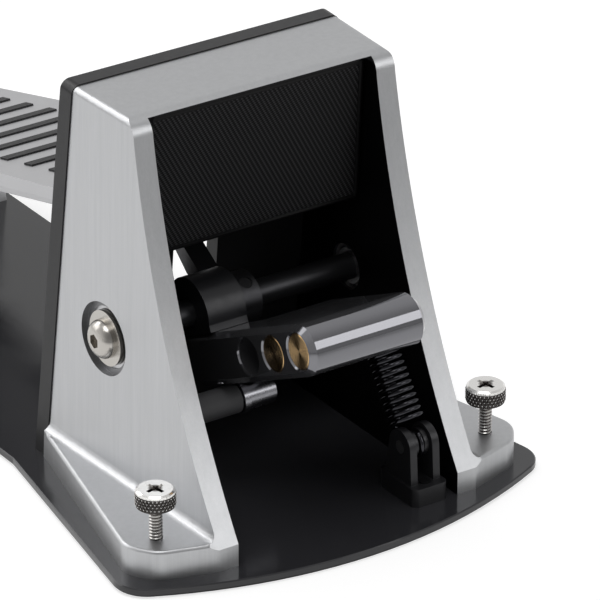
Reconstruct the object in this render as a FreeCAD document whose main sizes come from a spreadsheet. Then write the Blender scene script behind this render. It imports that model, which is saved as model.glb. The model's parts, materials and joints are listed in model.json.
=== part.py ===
"""Kick drum trigger pedal: a weighted hammer is thrown up against a pad inside a cast arch.

Axes: X along the hammer's axle, with +X to the right of someone who looks into the arch's open
front. That front faces -Y and the heel end faces +Y. +Z is up, and z = 0 is the floor. The origin
is at the bottom centre of the whole pedal. Lengths are in millimetres and angles in degrees.
"""
import FreeCAD, Part
import Sketcher
import math
import os
from FreeCAD import Placement, Rotation, Vector

doc = FreeCAD.newDocument("KickPedal")
dims = doc.addObject("Spreadsheet::Sheet", "dims")

# Driving dimensions: alias, value, meaning.
DRIVING = [
    ("half_length", 216, "half of the overall length"),
    ("foot_setback", 19, "front of the base plate's arc to the arch's front foot"),
    ("mat_thick", 1.6, "rubber mat under the base plate"),
    ("mat_inset", 1.5, "mat's edge inside the base plate's edge"),
    ("base_thick", 2.9, "steel base plate"),
    ("base_bevel", 0.5, "bevel of the base plate's upper edge"),
    ("base_half_width", 108.6, "half width at the front corners, before they are rounded"),
    ("base_front_radius", 227, "radius of the front edge"),
    ("base_corner_radius", 15, "front corners"),
    ("shoulder_half_width", 86, "half width behind the arch"),
    ("shoulder_front", 135, "start of the shoulder behind the arch's foot"),
    ("shoulder_back", 178, "end of the shoulder"),
    ("tail_half_width", 51, "half width of the tail under the footboard"),
    ("tail_taper", 30, "length over which the shoulder narrows to the tail"),
    ("tail_corner_radius", 12, "rear corners of the base plate"),
    # arch
    ("arch_height", 183.5, "top of the arch above the base plate"),
    ("arch_depth_foot", 129, "depth of the side walls at the base plate"),
    ("back_lean", 6.2, "lean of the arch's back towards the front"),
    ("foot_rise", 10.5, "upright part of the front edge at the foot"),
    ("brow_setback", 63.5, "front edge at its top, behind the foot"),
    ("belly_setback", 41.5, "middle of the curved front edge, behind the foot"),
    ("belly_height", 94, "middle of the curved front edge above the base plate"),
    ("brow_radius", 8.5, "rounding from the front edge to the top"),
    ("mouth_half_width", 56.3, "half of the clear width between the side walls"),
    ("mouth_corner_radius", 4.5, "upper corners of the mouth"),
    ("lip_thick", 1.1, "thin lip of the roof at the mouth"),
    ("lip_depth", 6, "length of the thin lip"),
    ("roof_thick", 5, "roof behind the lip"),
    ("wall_half_front_foot", 66.2, "outer half width, front foot"),
    ("wall_half_front_top", 63.6, "outer half width, front top"),
    ("wall_half_back_foot", 72.4, "outer half width, back foot"),
    ("wall_half_back_top", 68.6, "outer half width, back top"),
    ("arch_corner_radius", 3, "upper outer corners of the arch"),
    ("flange_thick", 13.5, "side feet of the arch"),
    ("flange_half_front", 92, "half width over the feet at the front edge"),
    ("flange_half_side", 100.5, "half width over the feet behind the front corner"),
    ("flange_front_slope", 8, "front edge's setback at the outer corner"),
    ("flange_corner_back", 20, "side edge's start behind the foot"),
    ("flange_corner_radius", 14, "front corner of the feet"),
    ("flange_crease_radius", 4, "fillet between a foot and its wall"),
    ("arch_screw_front", 20, "front screws behind the arch's front foot"),
    ("arch_screw_back", 105, "rear screws behind the arch's front foot"),
    ("arch_screw_inset", 5.5, "front screws outside the mouth's side"),
    ("arch_screw_outset", 7, "rear screws outside the mouth's side"),
    # rear plate
    ("rear_plate_thick", 8.5, "black plate behind the arch"),
    ("rear_plate_margin", 0.6, "rear plate's edge outside the arch"),
    ("rear_plate_radius", 4.5, "upper corners of the rear plate"),
    ("rear_screw_low", 30, "lowest pair of its screws above the base plate"),
    ("rear_screw_pitch", 61, "spacing of the three pairs of screws"),
    ("rear_slot_half_width", 11.5, "slot for the drive bracket"),
    ("rear_slot_low", 22, "slot's lower end above the base plate"),
    ("rear_slot_high", 112, "slot's upper end above the base plate"),
    # axle and its bearings
    ("axle_back", 86, "axle behind the arch's front foot"),
    ("axle_height", 74.7, "axle above the base plate"),
    ("axle_radius", 6, "axle"),
    ("axle_half_length", 66, "half length of the axle"),
    ("bearing_radius", 14, "bearing's outer radius"),
    ("bearing_width", 8, "bearing's width"),
    ("bearing_ring", 2.3, "radial thickness of a bearing ring"),
    ("ball_radius", 1.6, "bearing balls"),
    ("ball_count", 9, "balls in one bearing"),
    ("recess_radius", 16.6, "counterbore around the bearing"),
    ("shoulder_radius", 10.5, "hole through the inner face of the wall"),
    ("washer_radius", 12.5, "washer on the axle's end"),
    ("washer_thick", 2, "washer on the axle's end"),
    ("button_radius", 8.75, "button head bolt"),
    ("button_height", 5.5, "button head bolt"),
    ("button_socket", 3.35, "corner radius of the hexagon socket"),
    ("axle_bolt_radius", 4, "shank of the button head bolt"),
    ("axle_bolt_length", 18, "shank of the button head bolt"),
    ("run_gap", 0.05, "radial clearance of a running fit"),
    ("seat_gap", 0.1, "clearance of a fixed fit"),
    # hammer
    ("strike_angle", 86.3, "hammer plate's angle above forward at the strike"),
    ("swing_angle", 60.3, "hammer's swing from rest to strike"),
    ("plate_offset", 21.3, "plate's middle plane from the axle, on the side away from the pad"),
    ("plate_thick", 23, "hammer plate"),
    ("plate_left", 25.8, "plate's left end from the centre plane"),
    ("plate_right", 33, "plate's right end from the centre plane"),
    ("tip_reach", 84, "outer hole from the axle along the plate"),
    ("hole_spacing", 21.1, "spacing of the three holes"),
    ("blind_depth", 40, "depth of the empty third hole"),
    ("weight_radius", 8, "brass weights and their holes"),
    ("plate_bevel", 2.6, "bevel around the plate's end faces"),
    ("hole_bevel", 0.7, "bevel around the ends of the three holes"),
    ("plate_waist", 25, "full width ends this far from the axle"),
    ("plate_heel", 15, "plate's reach behind the axle"),
    ("heel_bevel_start", 5.3, "bevel on the plate's heel, so that it clears the stop rod, starts behind the axle"),
    ("heel_bevel_depth", 3.5, "bevel's depth at the end of the heel"),
    ("screw_recess", 3.5, "plate screws' heads under the plate's outer face"),
    ("arm_width", 20.4, "width of the plate over the hub"),
    ("waist_radius", 6, "inside corner at the waist"),
    ("grub_radius", 2.9, "set screws in the plate's face"),
    ("grub_length", 2.6, "set screws in the plate's face"),
    # hub, cam lever
    ("hub_radius", 16, "clamp hub on the axle"),
    ("hub_clamp_reach", 25, "clamp ears behind the axle"),
    ("hub_clamp_half", 7, "half height of the clamp ears"),
    ("hub_slit", 2, "slit of the clamp"),
    ("hub_inset", 0.5, "hub's ends inside the arm's width"),
    ("hub_screw_reach", 9.5, "plate screws from the axle along the plate"),
    ("hub_screw_depth", 9, "plate screws' reach into the hub"),
    ("lever_half_width", 5, "cam lever's half width"),
    ("lever_boss_radius", 12, "cam lever's boss"),
    ("lever_reach", 57, "cam lever's tip from the axle"),
    ("lever_tip_depth", 4, "cam lever's depth at its tip"),
    ("lever_belly", 9, "cam lever's greatest depth"),
    # spring and its anchor
    ("spring_side", 42.5, "spring's axis from the centre plane"),
    ("spring_pin_reach", 41, "spring pin from the axle"),
    ("spring_pin_angle", 6.6, "spring pin below forward, at rest"),
    ("spring_pin_radius", 3.5, "pin in the hammer plate's right end"),
    ("spring_pin_depth", 12, "pin's seat in the hammer plate"),
    ("bush_radius", 6, "grooved bush"),
    ("bush_groove_radius", 4.6, "groove of the bush"),
    ("bush_groove_width", 3.2, "groove of the bush"),
    ("bush_width", 7.4, "grooved bush"),
    ("wire_radius", 1.1, "spring wire"),
    ("coil_radius", 7.4, "mean radius of the coils"),
    ("coil_turns", 12.5, "turns between the hooks"),
    ("hook_gap", 0.25, "hook's inside to the groove"),
    ("hook_neck", 2.6, "straight reach between a hook and the coils"),
    ("anchor_pin_back", 13, "anchor pin behind the arch's front foot"),
    ("anchor_pin_height", 24, "anchor pin above the base plate"),
    ("anchor_pin_radius", 3, "anchor pin"),
    ("anchor_ear_radius", 8, "ears of the anchor"),
    ("anchor_ear_thick", 3.6, "ears of the anchor"),
    ("anchor_half_width", 9, "anchor block"),
    ("anchor_height", 8.5, "anchor block"),
    ("anchor_front", 13.5, "anchor block's reach before its pin"),
    ("anchor_back", 14, "anchor block's reach behind its pin"),
    # rest stop
    ("stop_back", 62.1, "stop rod behind the arch's front foot"),
    ("stop_height", 41.55, "stop rod above the base plate"),
    ("stop_radius", 6.5, "stop rod"),
    ("stop_spigot_radius", 4, "spigot in the wall"),
    ("stop_spigot_depth", 6, "spigot in the wall"),
    ("stop_collar_radius", 7.2, "collar on the rod"),
    ("stop_collar_width", 3, "collar on the rod"),
    ("stop_sleeve_length", 39, "black sleeve between wall and collar"),
    ("stop_end", 0, "stop rod's free end from the centre plane"),
    # pad
    ("pad_top_gap", 7, "pad housing's upper edge below the arch's top"),
    ("pad_face_rise", 5.2, "woven face's upper edge above its housing's"),
    ("pad_height", 64, "height of the pad"),
    ("strike_gap", 0.4, "hammer to pad at the strike"),
    ("pad_half_width", 55.4, "pad's half width"),
    ("pad_face_thick", 4, "woven face of the pad"),
    ("pad_foam_thick", 18, "foam behind the face"),
    ("sensor_plate_thick", 2, "steel plate behind the foam"),
    ("sensor_radius", 17, "sensor disc"),
    ("sensor_thick", 0.8, "sensor disc"),
    ("housing_wall", 2.6, "pad housing's walls"),
    ("part_gap", 0.3, "gap between pieces that lie side by side"),
    # anchor bolts
    ("bolt_side", 85, "anchor bolts from the centre plane"),
    ("bolt_back", 20, "anchor bolts behind the arch's front foot"),
    ("bolt_head_radius", 9, "knurled head"),
    ("bolt_head_height", 8, "knurled head"),
    ("bolt_head_bevel", 1, "bevel of the knurled head"),
    ("bolt_radius", 3, "shank"),
    ("bolt_stand", 15.5, "head's underside above the foot"),
    ("bolt_tip", 3, "length of the pointed tip"),
    ("cross_depth", 3, "cross recess"),
    ("cross_half_length", 3.6, "cross recess"),
    ("cross_half_width", 0.8, "cross recess"),
    # footboard
    ("heel_hinge_ahead", 38, "footboard hinge before the base plate's rear end"),
    ("heel_hinge_height", 45.5, "footboard hinge above the base plate"),
    ("board_angle", 14.5, "footboard's slope at rest"),
    ("board_top", 9.5, "footboard's upper face above the hinge"),
    ("board_thick", 6, "footboard"),
    ("board_heel", 2, "footboard's reach behind the hinge"),
    ("board_half_toe", 48, "footboard's half width at the toe"),
    ("board_half_heel", 43, "footboard's half width at the heel"),
    ("board_neck", 22, "full width starts this far before the hinge"),
    ("board_corner_radius", 10, "footboard's toe corners"),
    ("rib_side", 33, "ribs under the footboard from the centre plane"),
    ("rib_width", 5, "ribs under the footboard"),
    ("rib_depth", 8, "ribs under the footboard"),
    ("knuckle_radius", 8.5, "footboard's hinge barrel"),
    ("knuckle_half_width", 29, "footboard's hinge barrel"),
    ("hinge_pin_radius", 4, "heel hinge pin"),
    ("hinge_bush_wall", 1.5, "bushes in the hinge barrel"),
    ("hinge_bush_length", 14, "bushes in the hinge barrel"),
    ("strip_count", 8, "grip strips"),
    ("strip_width", 7, "grip strips"),
    ("strip_first", 47, "first grip strip from the hinge"),
    ("strip_half_length", 32, "grip strips"),
    ("strip_depth", 1.5, "groove for a grip strip"),
    ("strip_proud", 0.8, "grip strip above the footboard"),
    ("toe_stop_height", 12, "toe stop"),
    ("toe_stop_depth", 10, "toe stop"),
    ("toe_stop_half_width", 30, "toe stop"),
    # drive bracket and roller
    ("roller_behind", 45.04, "roller's pin behind the axle, at rest"),
    ("roller_above", 26.76, "roller's pin above the axle, at rest"),
    ("toe_setback", 9.2, "footboard's toe end behind the roller's pin"),
    ("bracket_setback", 12.2, "drive bracket's flat part ends this far behind the roller's pin"),
    ("bracket_length", 33, "flat part of the drive bracket"),
    ("bracket_half_width", 18, "flat part of the drive bracket"),
    ("bracket_screw_side", 10, "bracket's screws from the centre plane"),
    ("bracket_screw_margin", 7, "bracket's screws from the flat part's rear end"),
    ("bracket_screw_pitch", 17, "bracket's screws along the footboard"),
    ("roller_radius", 8, "drive roller"),
    ("roller_half_width", 6, "drive roller"),
    ("roller_pin_radius", 3, "roller's pin"),
    ("cam_gap", 0.3, "roller to cam lever"),
    ("bracket_ear_thick", 4, "ears of the drive bracket"),
    ("bracket_ear_radius", 6.5, "ears of the drive bracket"),
    ("bracket_flat", 4, "flat part of the drive bracket"),
    # heel block
    ("heel_block_front", 17, "heel block's front before the hinge"),
    ("heel_block_half_width", 46, "heel block"),
    ("heel_ear_radius", 9, "ears round the hinge pin"),
    ("heel_plate_thick", 4, "heel plate"),
    ("heel_plate_start", 9, "heel plate's front edge behind the hinge"),
    ("heel_inset", 1, "heel plate's rear edge inside the base plate's end"),
    ("knuckle_gap", 1, "clearance round the hinge barrel"),
    # jack
    ("jack_box_left", 58, "jack box's inner face from the centre plane"),
    ("jack_box_right", 82, "jack box's outer face from the centre plane"),
    ("jack_box_front", 142, "jack box's front behind the arch's foot"),
    ("jack_box_back", 168, "jack box's back behind the arch's foot"),
    ("jack_box_height", 25, "jack box"),
    ("jack_box_wall", 2, "jack box"),
    ("jack_height", 13, "jack's axis above the base plate"),
    ("jack_offset", 3.6, "jack's axis behind the middle of its box"),
    ("jack_bush_radius", 4.7, "jack's threaded bush"),
    ("jack_bush_proud", 6, "bush outside the box"),
    ("jack_bore_radius", 3.25, "jack's bore for a 6.35 mm plug"),
    ("jack_body_half", 6.5, "jack's body"),
    ("jack_body_length", 16, "jack's body"),
    ("jack_nut_radius", 7, "jack's nut"),
    ("jack_nut_thick", 2.5, "jack's nut"),
    ("lead_radius", 1.2, "sensor's lead"),
    # screws
    ("m5_radius", 2.5, "countersunk and socket screws"),
    ("m5_head_radius", 4.6, "countersunk head"),
    ("m5_head_height", 2.4, "countersunk head"),
    ("screw_length", 12, "screws through the base plate"),
    ("rear_screw_length", 18, "screws through the rear plate"),
    ("cap_radius", 4.2, "socket cap head"),
    ("cap_height", 4.5, "socket cap head"),
]

# Dimensions that follow from others: alias, formula, meaning.
DERIVED = [
    ("brow_height", "=arch_height - brow_radius", "front edge's upper end above the base plate"),
    ("pad_high", "=arch_height - pad_top_gap", "pad's upper edge above the base plate"),
    ("pad_low", "=pad_high - pad_height", "pad's lower edge above the base plate"),
    ("roller_run", "=2 * half_length - heel_hinge_ahead - foot_setback - axle_back - roller_behind",
     "roller's pin before the hinge, at rest"),
    ("roller_rise", "=axle_height + roller_above - heel_hinge_height", "roller's pin above the hinge, at rest"),
    ("roller_reach", "=roller_run * cos(board_angle) + roller_rise * sin(board_angle)",
     "roller's pin from the hinge, along the footboard"),
    ("roller_drop", "=roller_run * sin(board_angle) - roller_rise * cos(board_angle)",
     "roller's pin below the hinge's level in the footboard"),
    ("board_length", "=roller_reach - toe_setback", "footboard's toe end from the hinge"),
    ("bracket_front", "=roller_reach - bracket_setback", "drive bracket's flat part ends here"),
    ("bracket_back", "=bracket_front - bracket_length", "drive bracket's rear end from the hinge"),
    ("strip_pitch", "=(bracket_back - strip_first - 1.07 * strip_width) / (strip_count - 1)", "grip strips"),
]

for row, (alias, number, meaning) in enumerate(DRIVING + DERIVED, start=1):
    dims.set(f"A{row}", alias)
    dims.set(f"B{row}", str(number))
    dims.set(f"C{row}", meaning)
    dims.setAlias(f"B{row}", alias)
doc.recompute()

# Reference places, as expressions on the sheet.
BASE_TOP = "(dims.mat_thick + dims.base_thick)"
FOOT_Y = "(dims.foot_setback - dims.half_length)"
AXLE_Y = f"({FOOT_Y} + dims.axle_back)"
AXLE_Z = f"({BASE_TOP} + dims.axle_height)"
REST_ANGLE = "(dims.strike_angle - dims.swing_angle)"
ARCH_TOP = f"({BASE_TOP} + dims.arch_height)"
HINGE_Y = "(dims.half_length - dims.heel_hinge_ahead)"
HINGE_Z = f"({BASE_TOP} + dims.heel_hinge_height)"
BOARD_UNDER = "(dims.board_top - dims.board_thick)"
ALONG_X = Rotation(Vector(0, 1, 0), 90)
ALONG_Y = Rotation(Vector(1, 0, 0), -90)
UPRIGHT = Rotation()

nodes = {}
counter = {}


def value(expression):
    """The number that an expression on the sheet gives."""
    return float(dims.evalExpression(str(expression)))


def fresh(kind):
    """An unused object name for a construction step."""
    counter[kind] = counter.get(kind, 0) + 1
    return f"{kind}_{counter[kind]}"


def bind(thing, **properties):
    """Bind properties of an object to expressions on the sheet."""
    for name, expression in properties.items():
        thing.setExpression(name, str(expression))
    return thing


def place(thing, x=0, y=0, z=0, turn=UPRIGHT):
    """Give an object a place on the sheet's expressions and a fixed turn."""
    thing.Placement = Placement(Vector(value(x), value(y), value(z)), turn)
    for axis, expression in zip("xyz", (x, y, z)):
        thing.setExpression(f"Placement.Base.{axis}", str(expression))
    return thing


def tilt(thing, angle, y, z, x=0):
    """Turn an object about X by an angle on the sheet, after it was made about the origin."""
    thing.Placement = Placement(Vector(value(x), value(y), value(z)), Rotation(Vector(1, 0, 0), 1))
    thing.setExpression("Placement.Rotation.Angle", str(angle))
    for axis, expression in zip("xyz", (x, y, z)):
        thing.setExpression(f"Placement.Base.{axis}", str(expression))
    return thing


def box(x0, y0, z0, x1, y1, z1):
    """A block between two corners."""
    block = doc.addObject("Part::Box", fresh("Block"))
    bind(block, Length=f"({x1}) - ({x0})", Width=f"({y1}) - ({y0})", Height=f"({z1}) - ({z0})")
    return place(block, x0, y0, z0)


def rod_x(radius, x0, x1, y=0, z=0):
    """A round bar along X."""
    bar = doc.addObject("Part::Cylinder", fresh("Bar"))
    bind(bar, Radius=radius, Height=f"({x1}) - ({x0})")
    return place(bar, x0, y, z, ALONG_X)


def rod_z(radius, z0, z1, x=0, y=0):
    """A round bar along Z."""
    bar = doc.addObject("Part::Cylinder", fresh("Bar"))
    bind(bar, Radius=radius, Height=f"({z1}) - ({z0})")
    return place(bar, x, y, z0)


def cone_z(radius0, radius1, z0, z1, x=0, y=0):
    """A cone along Z, from radius0 at z0 to radius1 at z1."""
    cone = doc.addObject("Part::Cone", fresh("Cone"))
    bind(cone, Radius1=radius0, Radius2=radius1, Height=f"({z1}) - ({z0})")
    return place(cone, x, y, z0)


def wrap(thing):
    """A holder with a placement of its own round a thing that has one already."""
    holder = doc.addObject("Part::Compound", fresh("Holder"))
    holder.Links = [thing]
    return holder


def fuse(*shapes):
    """One solid out of several that touch."""
    union = doc.addObject("Part::MultiFuse", fresh("Union"))
    union.Shapes = list(shapes)
    union.Refine = True
    return union


def cut(base, *tools):
    """A shape with other shapes taken out of it."""
    for tool in tools:
        result = doc.addObject("Part::Cut", fresh("Cut"))
        result.Base = base
        result.Tool = tool
        base = result
    return base


def common(first, second):
    """What two shapes share."""
    shared = doc.addObject("Part::Common", fresh("Shared"))
    shared.Base = first
    shared.Tool = second
    return shared


def node(name, *things):
    """Register a named piece; several things become one group of separate solids."""
    if len(things) == 1:
        thing = things[0]
    else:
        thing = doc.addObject("Part::Compound", fresh("Group"))
        thing.Links = list(things)
    thing.Label = name
    nodes[name] = thing
    return thing


class Through:
    """A point that an arc of an outline passes through, between two of its corners."""

    def __init__(self, x, y):
        self.at = (x, y)


def outline(body, plane, points, offset=0):
    """A closed sketch of lines and arcs, each point held by expressions on the sheet."""
    sketch = body.newObject("Sketcher::SketchObject", fresh("Outline"))
    support = [f for f in body.Origin.OriginFeatures if f.Role == plane][0]
    sketch.AttachmentSupport = [(support, "")]
    sketch.MapMode = "FlatFace"
    sketch.AttachmentOffset = Placement(Vector(0, 0, value(offset)), Rotation())
    sketch.setExpression("AttachmentOffset.Base.z", str(offset))
    corners = []
    arcs = {}
    for point in points:
        if isinstance(point, Through):
            arcs[len(corners) - 1] = point.at
        else:
            corners.append(point)

    def spot(pair):
        return Vector(value(pair[0]), value(pair[1]), 0)

    def hold(geometry, end, pair):
        for kind, expression in zip(("DistanceX", "DistanceY"), pair):
            name = fresh(kind)
            number = Sketcher.Constraint(kind, -1, 1, geometry, end, value(expression))
            sketch.renameConstraint(sketch.addConstraint(number), name)
            sketch.setExpression(f"Constraints.{name}", str(expression))

    edges = []
    for index, corner in enumerate(corners):
        start = spot(corner)
        finish = spot(corners[(index + 1) % len(corners)])
        if index not in arcs:
            edges.append((sketch.addGeometry(Part.LineSegment(start, finish), False), 1, 2))
            continue
        middle = spot(arcs[index])
        leftward = (middle - start).cross(finish - middle).z > 0
        if leftward:
            arc = sketch.addGeometry(Part.Arc(start, middle, finish), False)
            edges.append((arc, 1, 2))
        else:
            arc = sketch.addGeometry(Part.Arc(finish, middle, start), False)
            edges.append((arc, 2, 1))
        marker = sketch.addGeometry(Part.Point(middle), True)
        sketch.addConstraint(Sketcher.Constraint("PointOnObject", marker, 1, arc))
        hold(marker, 1, arcs[index])
    for index, (edge, first, last) in enumerate(edges):
        before, _, end = edges[index - 1]
        sketch.addConstraint(Sketcher.Constraint("Coincident", before, end, edge, first))
        hold(edge, first, corners[index])
    return sketch


def pad(body, sketch, length, both_ways=False, against=False):
    """Raise a sketch into a solid."""
    feature = body.newObject("PartDesign::Pad", fresh("Pad"))
    feature.Profile = sketch
    feature.Midplane = both_ways
    feature.Reversed = against
    bind(feature, Length=length)
    body.Tip = feature
    return feature


def new_body():
    return doc.addObject("PartDesign::Body", fresh("Body"))


def side_pad(points, width, offset=0):
    """A solid whose side view is the outline, raised equally to both sides of offset."""
    body = new_body()
    pad(body, outline(body, "YZ_Plane", points, offset), width, both_ways=True)
    return body


def plan_pad(points, z0, height):
    """A solid whose top view is the outline."""
    body = new_body()
    pad(body, outline(body, "XY_Plane", points, z0), height)
    return body


def solid_block(x0, y0, z0, x1, y1, z1):
    """A block between two corners, as a body whose edges can be dressed."""
    return plan_pad([(x0, y0), (x1, y0), (x1, y1), (x0, y1)], z0, f"({z1}) - ({z0})")


def front_pad(points, y0, depth):
    """A solid whose front view is the outline, raised from y0 towards the heel."""
    body = new_body()
    pad(body, outline(body, "XZ_Plane", points, f"-({y0})"), depth, against=True)
    return body


def dress(thing, kind, size, wanted):
    """Fillet or chamfer the edges of a body for which wanted(edge) is true."""
    doc.recompute()
    if thing.TypeId != "PartDesign::Body":
        body = new_body()
        body.BaseFeature = thing
        doc.recompute()
        thing = body
    base = thing.Tip
    names = [
        f"Edge{i}" for i, edge in enumerate(base.Shape.Edges, start=1) if wanted(edge)
    ]
    if not names:
        raise RuntimeError(f"no edge to {kind} on {thing.Name}")
    feature = thing.newObject(f"PartDesign::{kind}", fresh(kind))
    feature.Base = (base, names)
    bind(feature, **{"Radius" if kind == "Fillet" else "Size": size})
    thing.Tip = feature
    doc.recompute()
    if feature.Shape.isNull() or not feature.Shape.isValid():
        raise RuntimeError(f"{kind} failed on {thing.Name}")
    return thing


def runs_along(edge, direction, tolerance=0.02):
    """Whether a straight edge is parallel to a direction."""
    if len(edge.Vertexes) < 2:
        return False
    span = edge.Vertexes[1].Point - edge.Vertexes[0].Point
    if span.Length < 0.999 * edge.Length:
        return False
    return span.normalize().cross(direction).Length < tolerance


def lean_y(height, offset=0):
    """y on the arch's leaning back, at a height above the base plate."""
    return f"({FOOT_Y} + dims.arch_depth_foot - ({height}) * tan(dims.back_lean) + ({offset}))"


def strike_y(height, behind=0):
    """y on the pad's face or behind it, at a height above the base plate."""
    plane = "((dims.plate_offset - dims.plate_thick / 2 - dims.strike_gap) / sin(dims.strike_angle))"
    rise = f"(({height}) - dims.axle_height)"
    return f"({AXLE_Y} - {plane} - {rise} / tan(dims.strike_angle) + ({behind}))"


# Base plate and its rubber mat.
def base_outline(inset):
    """Half fan at the front, shoulders behind the arch and a narrow tail, as a closed outline."""
    front = f"({inset} - dims.half_length)"
    back = f"(dims.half_length - {inset})"
    wide = f"(dims.base_half_width - {inset})"
    sagitta = f"(dims.base_front_radius - sqrt(dims.base_front_radius^2 - dims.base_half_width^2))"
    corner = f"({front} + {sagitta})"
    shoulder = f"(dims.shoulder_half_width - {inset})"
    tail = f"(dims.tail_half_width - {inset})"
    shoulder_back = f"({FOOT_Y} + dims.shoulder_back)"
    return [
        (f"-{wide}", corner),
        Through(0, front),
        (wide, corner),
        (shoulder, f"{FOOT_Y} + dims.shoulder_front"),
        (shoulder, shoulder_back),
        (tail, f"{shoulder_back} + dims.tail_taper"),
        (tail, back),
        (f"-{tail}", back),
        (f"-{tail}", f"{shoulder_back} + dims.tail_taper"),
        (f"-{shoulder}", shoulder_back),
        (f"-{shoulder}", f"{FOOT_Y} + dims.shoulder_front"),
    ]


def base_slab(inset, z0, thick):
    """The base plate's shape at a given inset, with its corners rounded."""
    slab = plan_pad(base_outline(inset), z0, thick)
    slab = dress(slab, "Fillet", "dims.base_corner_radius",
                 lambda edge: runs_along(edge, Vector(0, 0, 1))
                 and abs(edge.CenterOfMass.x) > value("dims.base_half_width - 4"))
    return dress(slab, "Fillet", "dims.tail_corner_radius",
                 lambda edge: runs_along(edge, Vector(0, 0, 1))
                 and edge.CenterOfMass.y > value("dims.half_length - 4"))


BOLT_Y = f"({FOOT_Y} + dims.bolt_back)"
ARCH_SCREWS = [("(dims.mouth_half_width + dims.arch_screw_inset)", f"({FOOT_Y} + dims.arch_screw_front)"),
               ("(dims.mouth_half_width + dims.arch_screw_outset)", f"({FOOT_Y} + dims.arch_screw_back)")]
HEEL_SCREW_Y = f"(dims.half_length - dims.heel_inset - 9)"
HEEL_SCREWS = [("(dims.heel_block_half_width - 9)", HEEL_SCREW_Y),
               ("(dims.heel_block_half_width - 9)", f"({HINGE_Y} - 8)")]
ANCHOR_Y = f"({FOOT_Y} + dims.anchor_pin_back)"


def screw_places():
    """Where screws come up through the base plate: group, x, y."""
    places = []
    for side in (-1, 1):
        places += [("arch_screws", f"({side} * {x})", y) for x, y in ARCH_SCREWS]
        places += [("heel_screws", f"({side} * {x})", y) for x, y in HEEL_SCREWS]
    places += [("anchor_screws", "dims.spring_side", f"({ANCHOR_Y} + 8)"),
               ("anchor_screws", "dims.spring_side", f"({ANCHOR_Y} - 8)")]
    jack_x = "((dims.jack_box_left + dims.jack_box_right) / 2)"
    places += [("jack_box_screws", jack_x, f"({FOOT_Y} + dims.jack_box_front + 1.2 * dims.m5_head_radius)")]
    return places


def countersunk(x, y, gap=0, length="dims.screw_length"):
    """A countersunk screw that comes up through the base plate, or the room for it."""
    radius = f"(dims.m5_radius + {gap})"
    head = f"(dims.m5_head_radius + {gap})"
    low = "dims.mat_thick"
    top = f"({low} + dims.m5_head_height)"
    tip = f"({low} + {length} + {gap})"
    return fuse(cone_z(head, radius, low, top, x, y), rod_z(radius, low, tip, x, y))


def build_base():
    """Steel base plate on a rubber mat, with its screws from below."""
    plate = base_slab("0", "dims.mat_thick", "dims.base_thick")
    plate = dress(plate, "Chamfer", "dims.base_bevel",
                  lambda edge: abs(edge.CenterOfMass.z - value(BASE_TOP)) < 0.01)
    mat = base_slab("dims.mat_inset", "0", "dims.mat_thick")
    holes = []
    groups = {}
    for group, x, y in screw_places():
        holes.append(countersunk(x, y, "dims.seat_gap"))
        groups.setdefault(group, []).append(countersunk(x, y))
    for side in (-1, 1):
        holes.append(rod_z("dims.bolt_radius + 0.5", "0", BASE_TOP, f"{side} * dims.bolt_side", BOLT_Y))
    node("base_plate", cut(plate, fuse(*holes)))
    mat_holes = [rod_z("dims.bolt_radius + 0.5", "0", BASE_TOP, f"{side} * dims.bolt_side", BOLT_Y)
                 for side in (-1, 1)]
    node("rubber_mat", cut(mat, fuse(*mat_holes)))
    for group, screws in groups.items():
        node(group, *screws)


def arch_side_outline(reach=0):
    """Side view of the arch: curved front edge, rounded brow, flat top and leaning back."""
    brow_y = f"({FOOT_Y} + dims.brow_setback)"
    brow_z = f"({BASE_TOP} + dims.brow_height)"
    turn = f"(dims.arch_height - dims.brow_height)"
    bow = f"({turn} * (1 - cos(45)))"
    return [
        (FOOT_Y, BASE_TOP),
        (FOOT_Y, f"{BASE_TOP} + dims.foot_rise"),
        Through(f"{FOOT_Y} + dims.belly_setback", f"{BASE_TOP} + dims.belly_height"),
        (brow_y, brow_z),
        Through(f"{brow_y} + {bow}", f"{ARCH_TOP} - {bow}"),
        (f"{brow_y} + dims.brow_radius", ARCH_TOP),
        (lean_y("dims.arch_height", reach), ARCH_TOP),
        (lean_y("0", reach), BASE_TOP),
    ]


LOFT_FRONT = f"({FOOT_Y} - 1)"
LOFT_BACK = f"({FOOT_Y} + dims.arch_depth_foot + dims.rear_plate_thick + 1)"


def wall_taper(margin, high, corner):
    """Loft from the arch's front outline to its back one, wider at the back, with rounded shoulders."""
    body = new_body()
    sections = []
    for y, foot, top in ((LOFT_FRONT, "dims.wall_half_front_foot", "dims.wall_half_front_top"),
                         (LOFT_BACK, "dims.wall_half_back_foot", "dims.wall_half_back_top")):
        half = f"({top} + {margin})"
        bow = f"({corner} * (1 - cos(45)))"
        corners = [
            (f"-({foot} + {margin})", BASE_TOP),
            (f"{foot} + {margin}", BASE_TOP),
            (half, f"{high} - {corner}"),
            Through(f"{half} - {bow}", f"{high} - {bow}"),
            (f"{half} - {corner}", high),
            (f"-({half} - {corner})", high),
            Through(f"-({half} - {bow})", f"{high} - {bow}"),
            (f"-{half}", f"{high} - {corner}"),
        ]
        sections.append(outline(body, "XZ_Plane", corners, f"-({y})"))
    loft = body.newObject("PartDesign::AdditiveLoft", fresh("Loft"))
    loft.Profile = sections[0]
    loft.Sections = [sections[1]]
    loft.Ruled = True
    body.Tip = loft
    return body


def foot_slab(side):
    """The uncut side foot, as long as the loft that it joins."""
    x0, x1 = ordered(side, "(dims.mouth_half_width + 1)", "(dims.flange_half_side + 5)")
    return box(x0, LOFT_FRONT, BASE_TOP, x1, LOFT_BACK, f"({BASE_TOP} + dims.flange_thick)")


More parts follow.
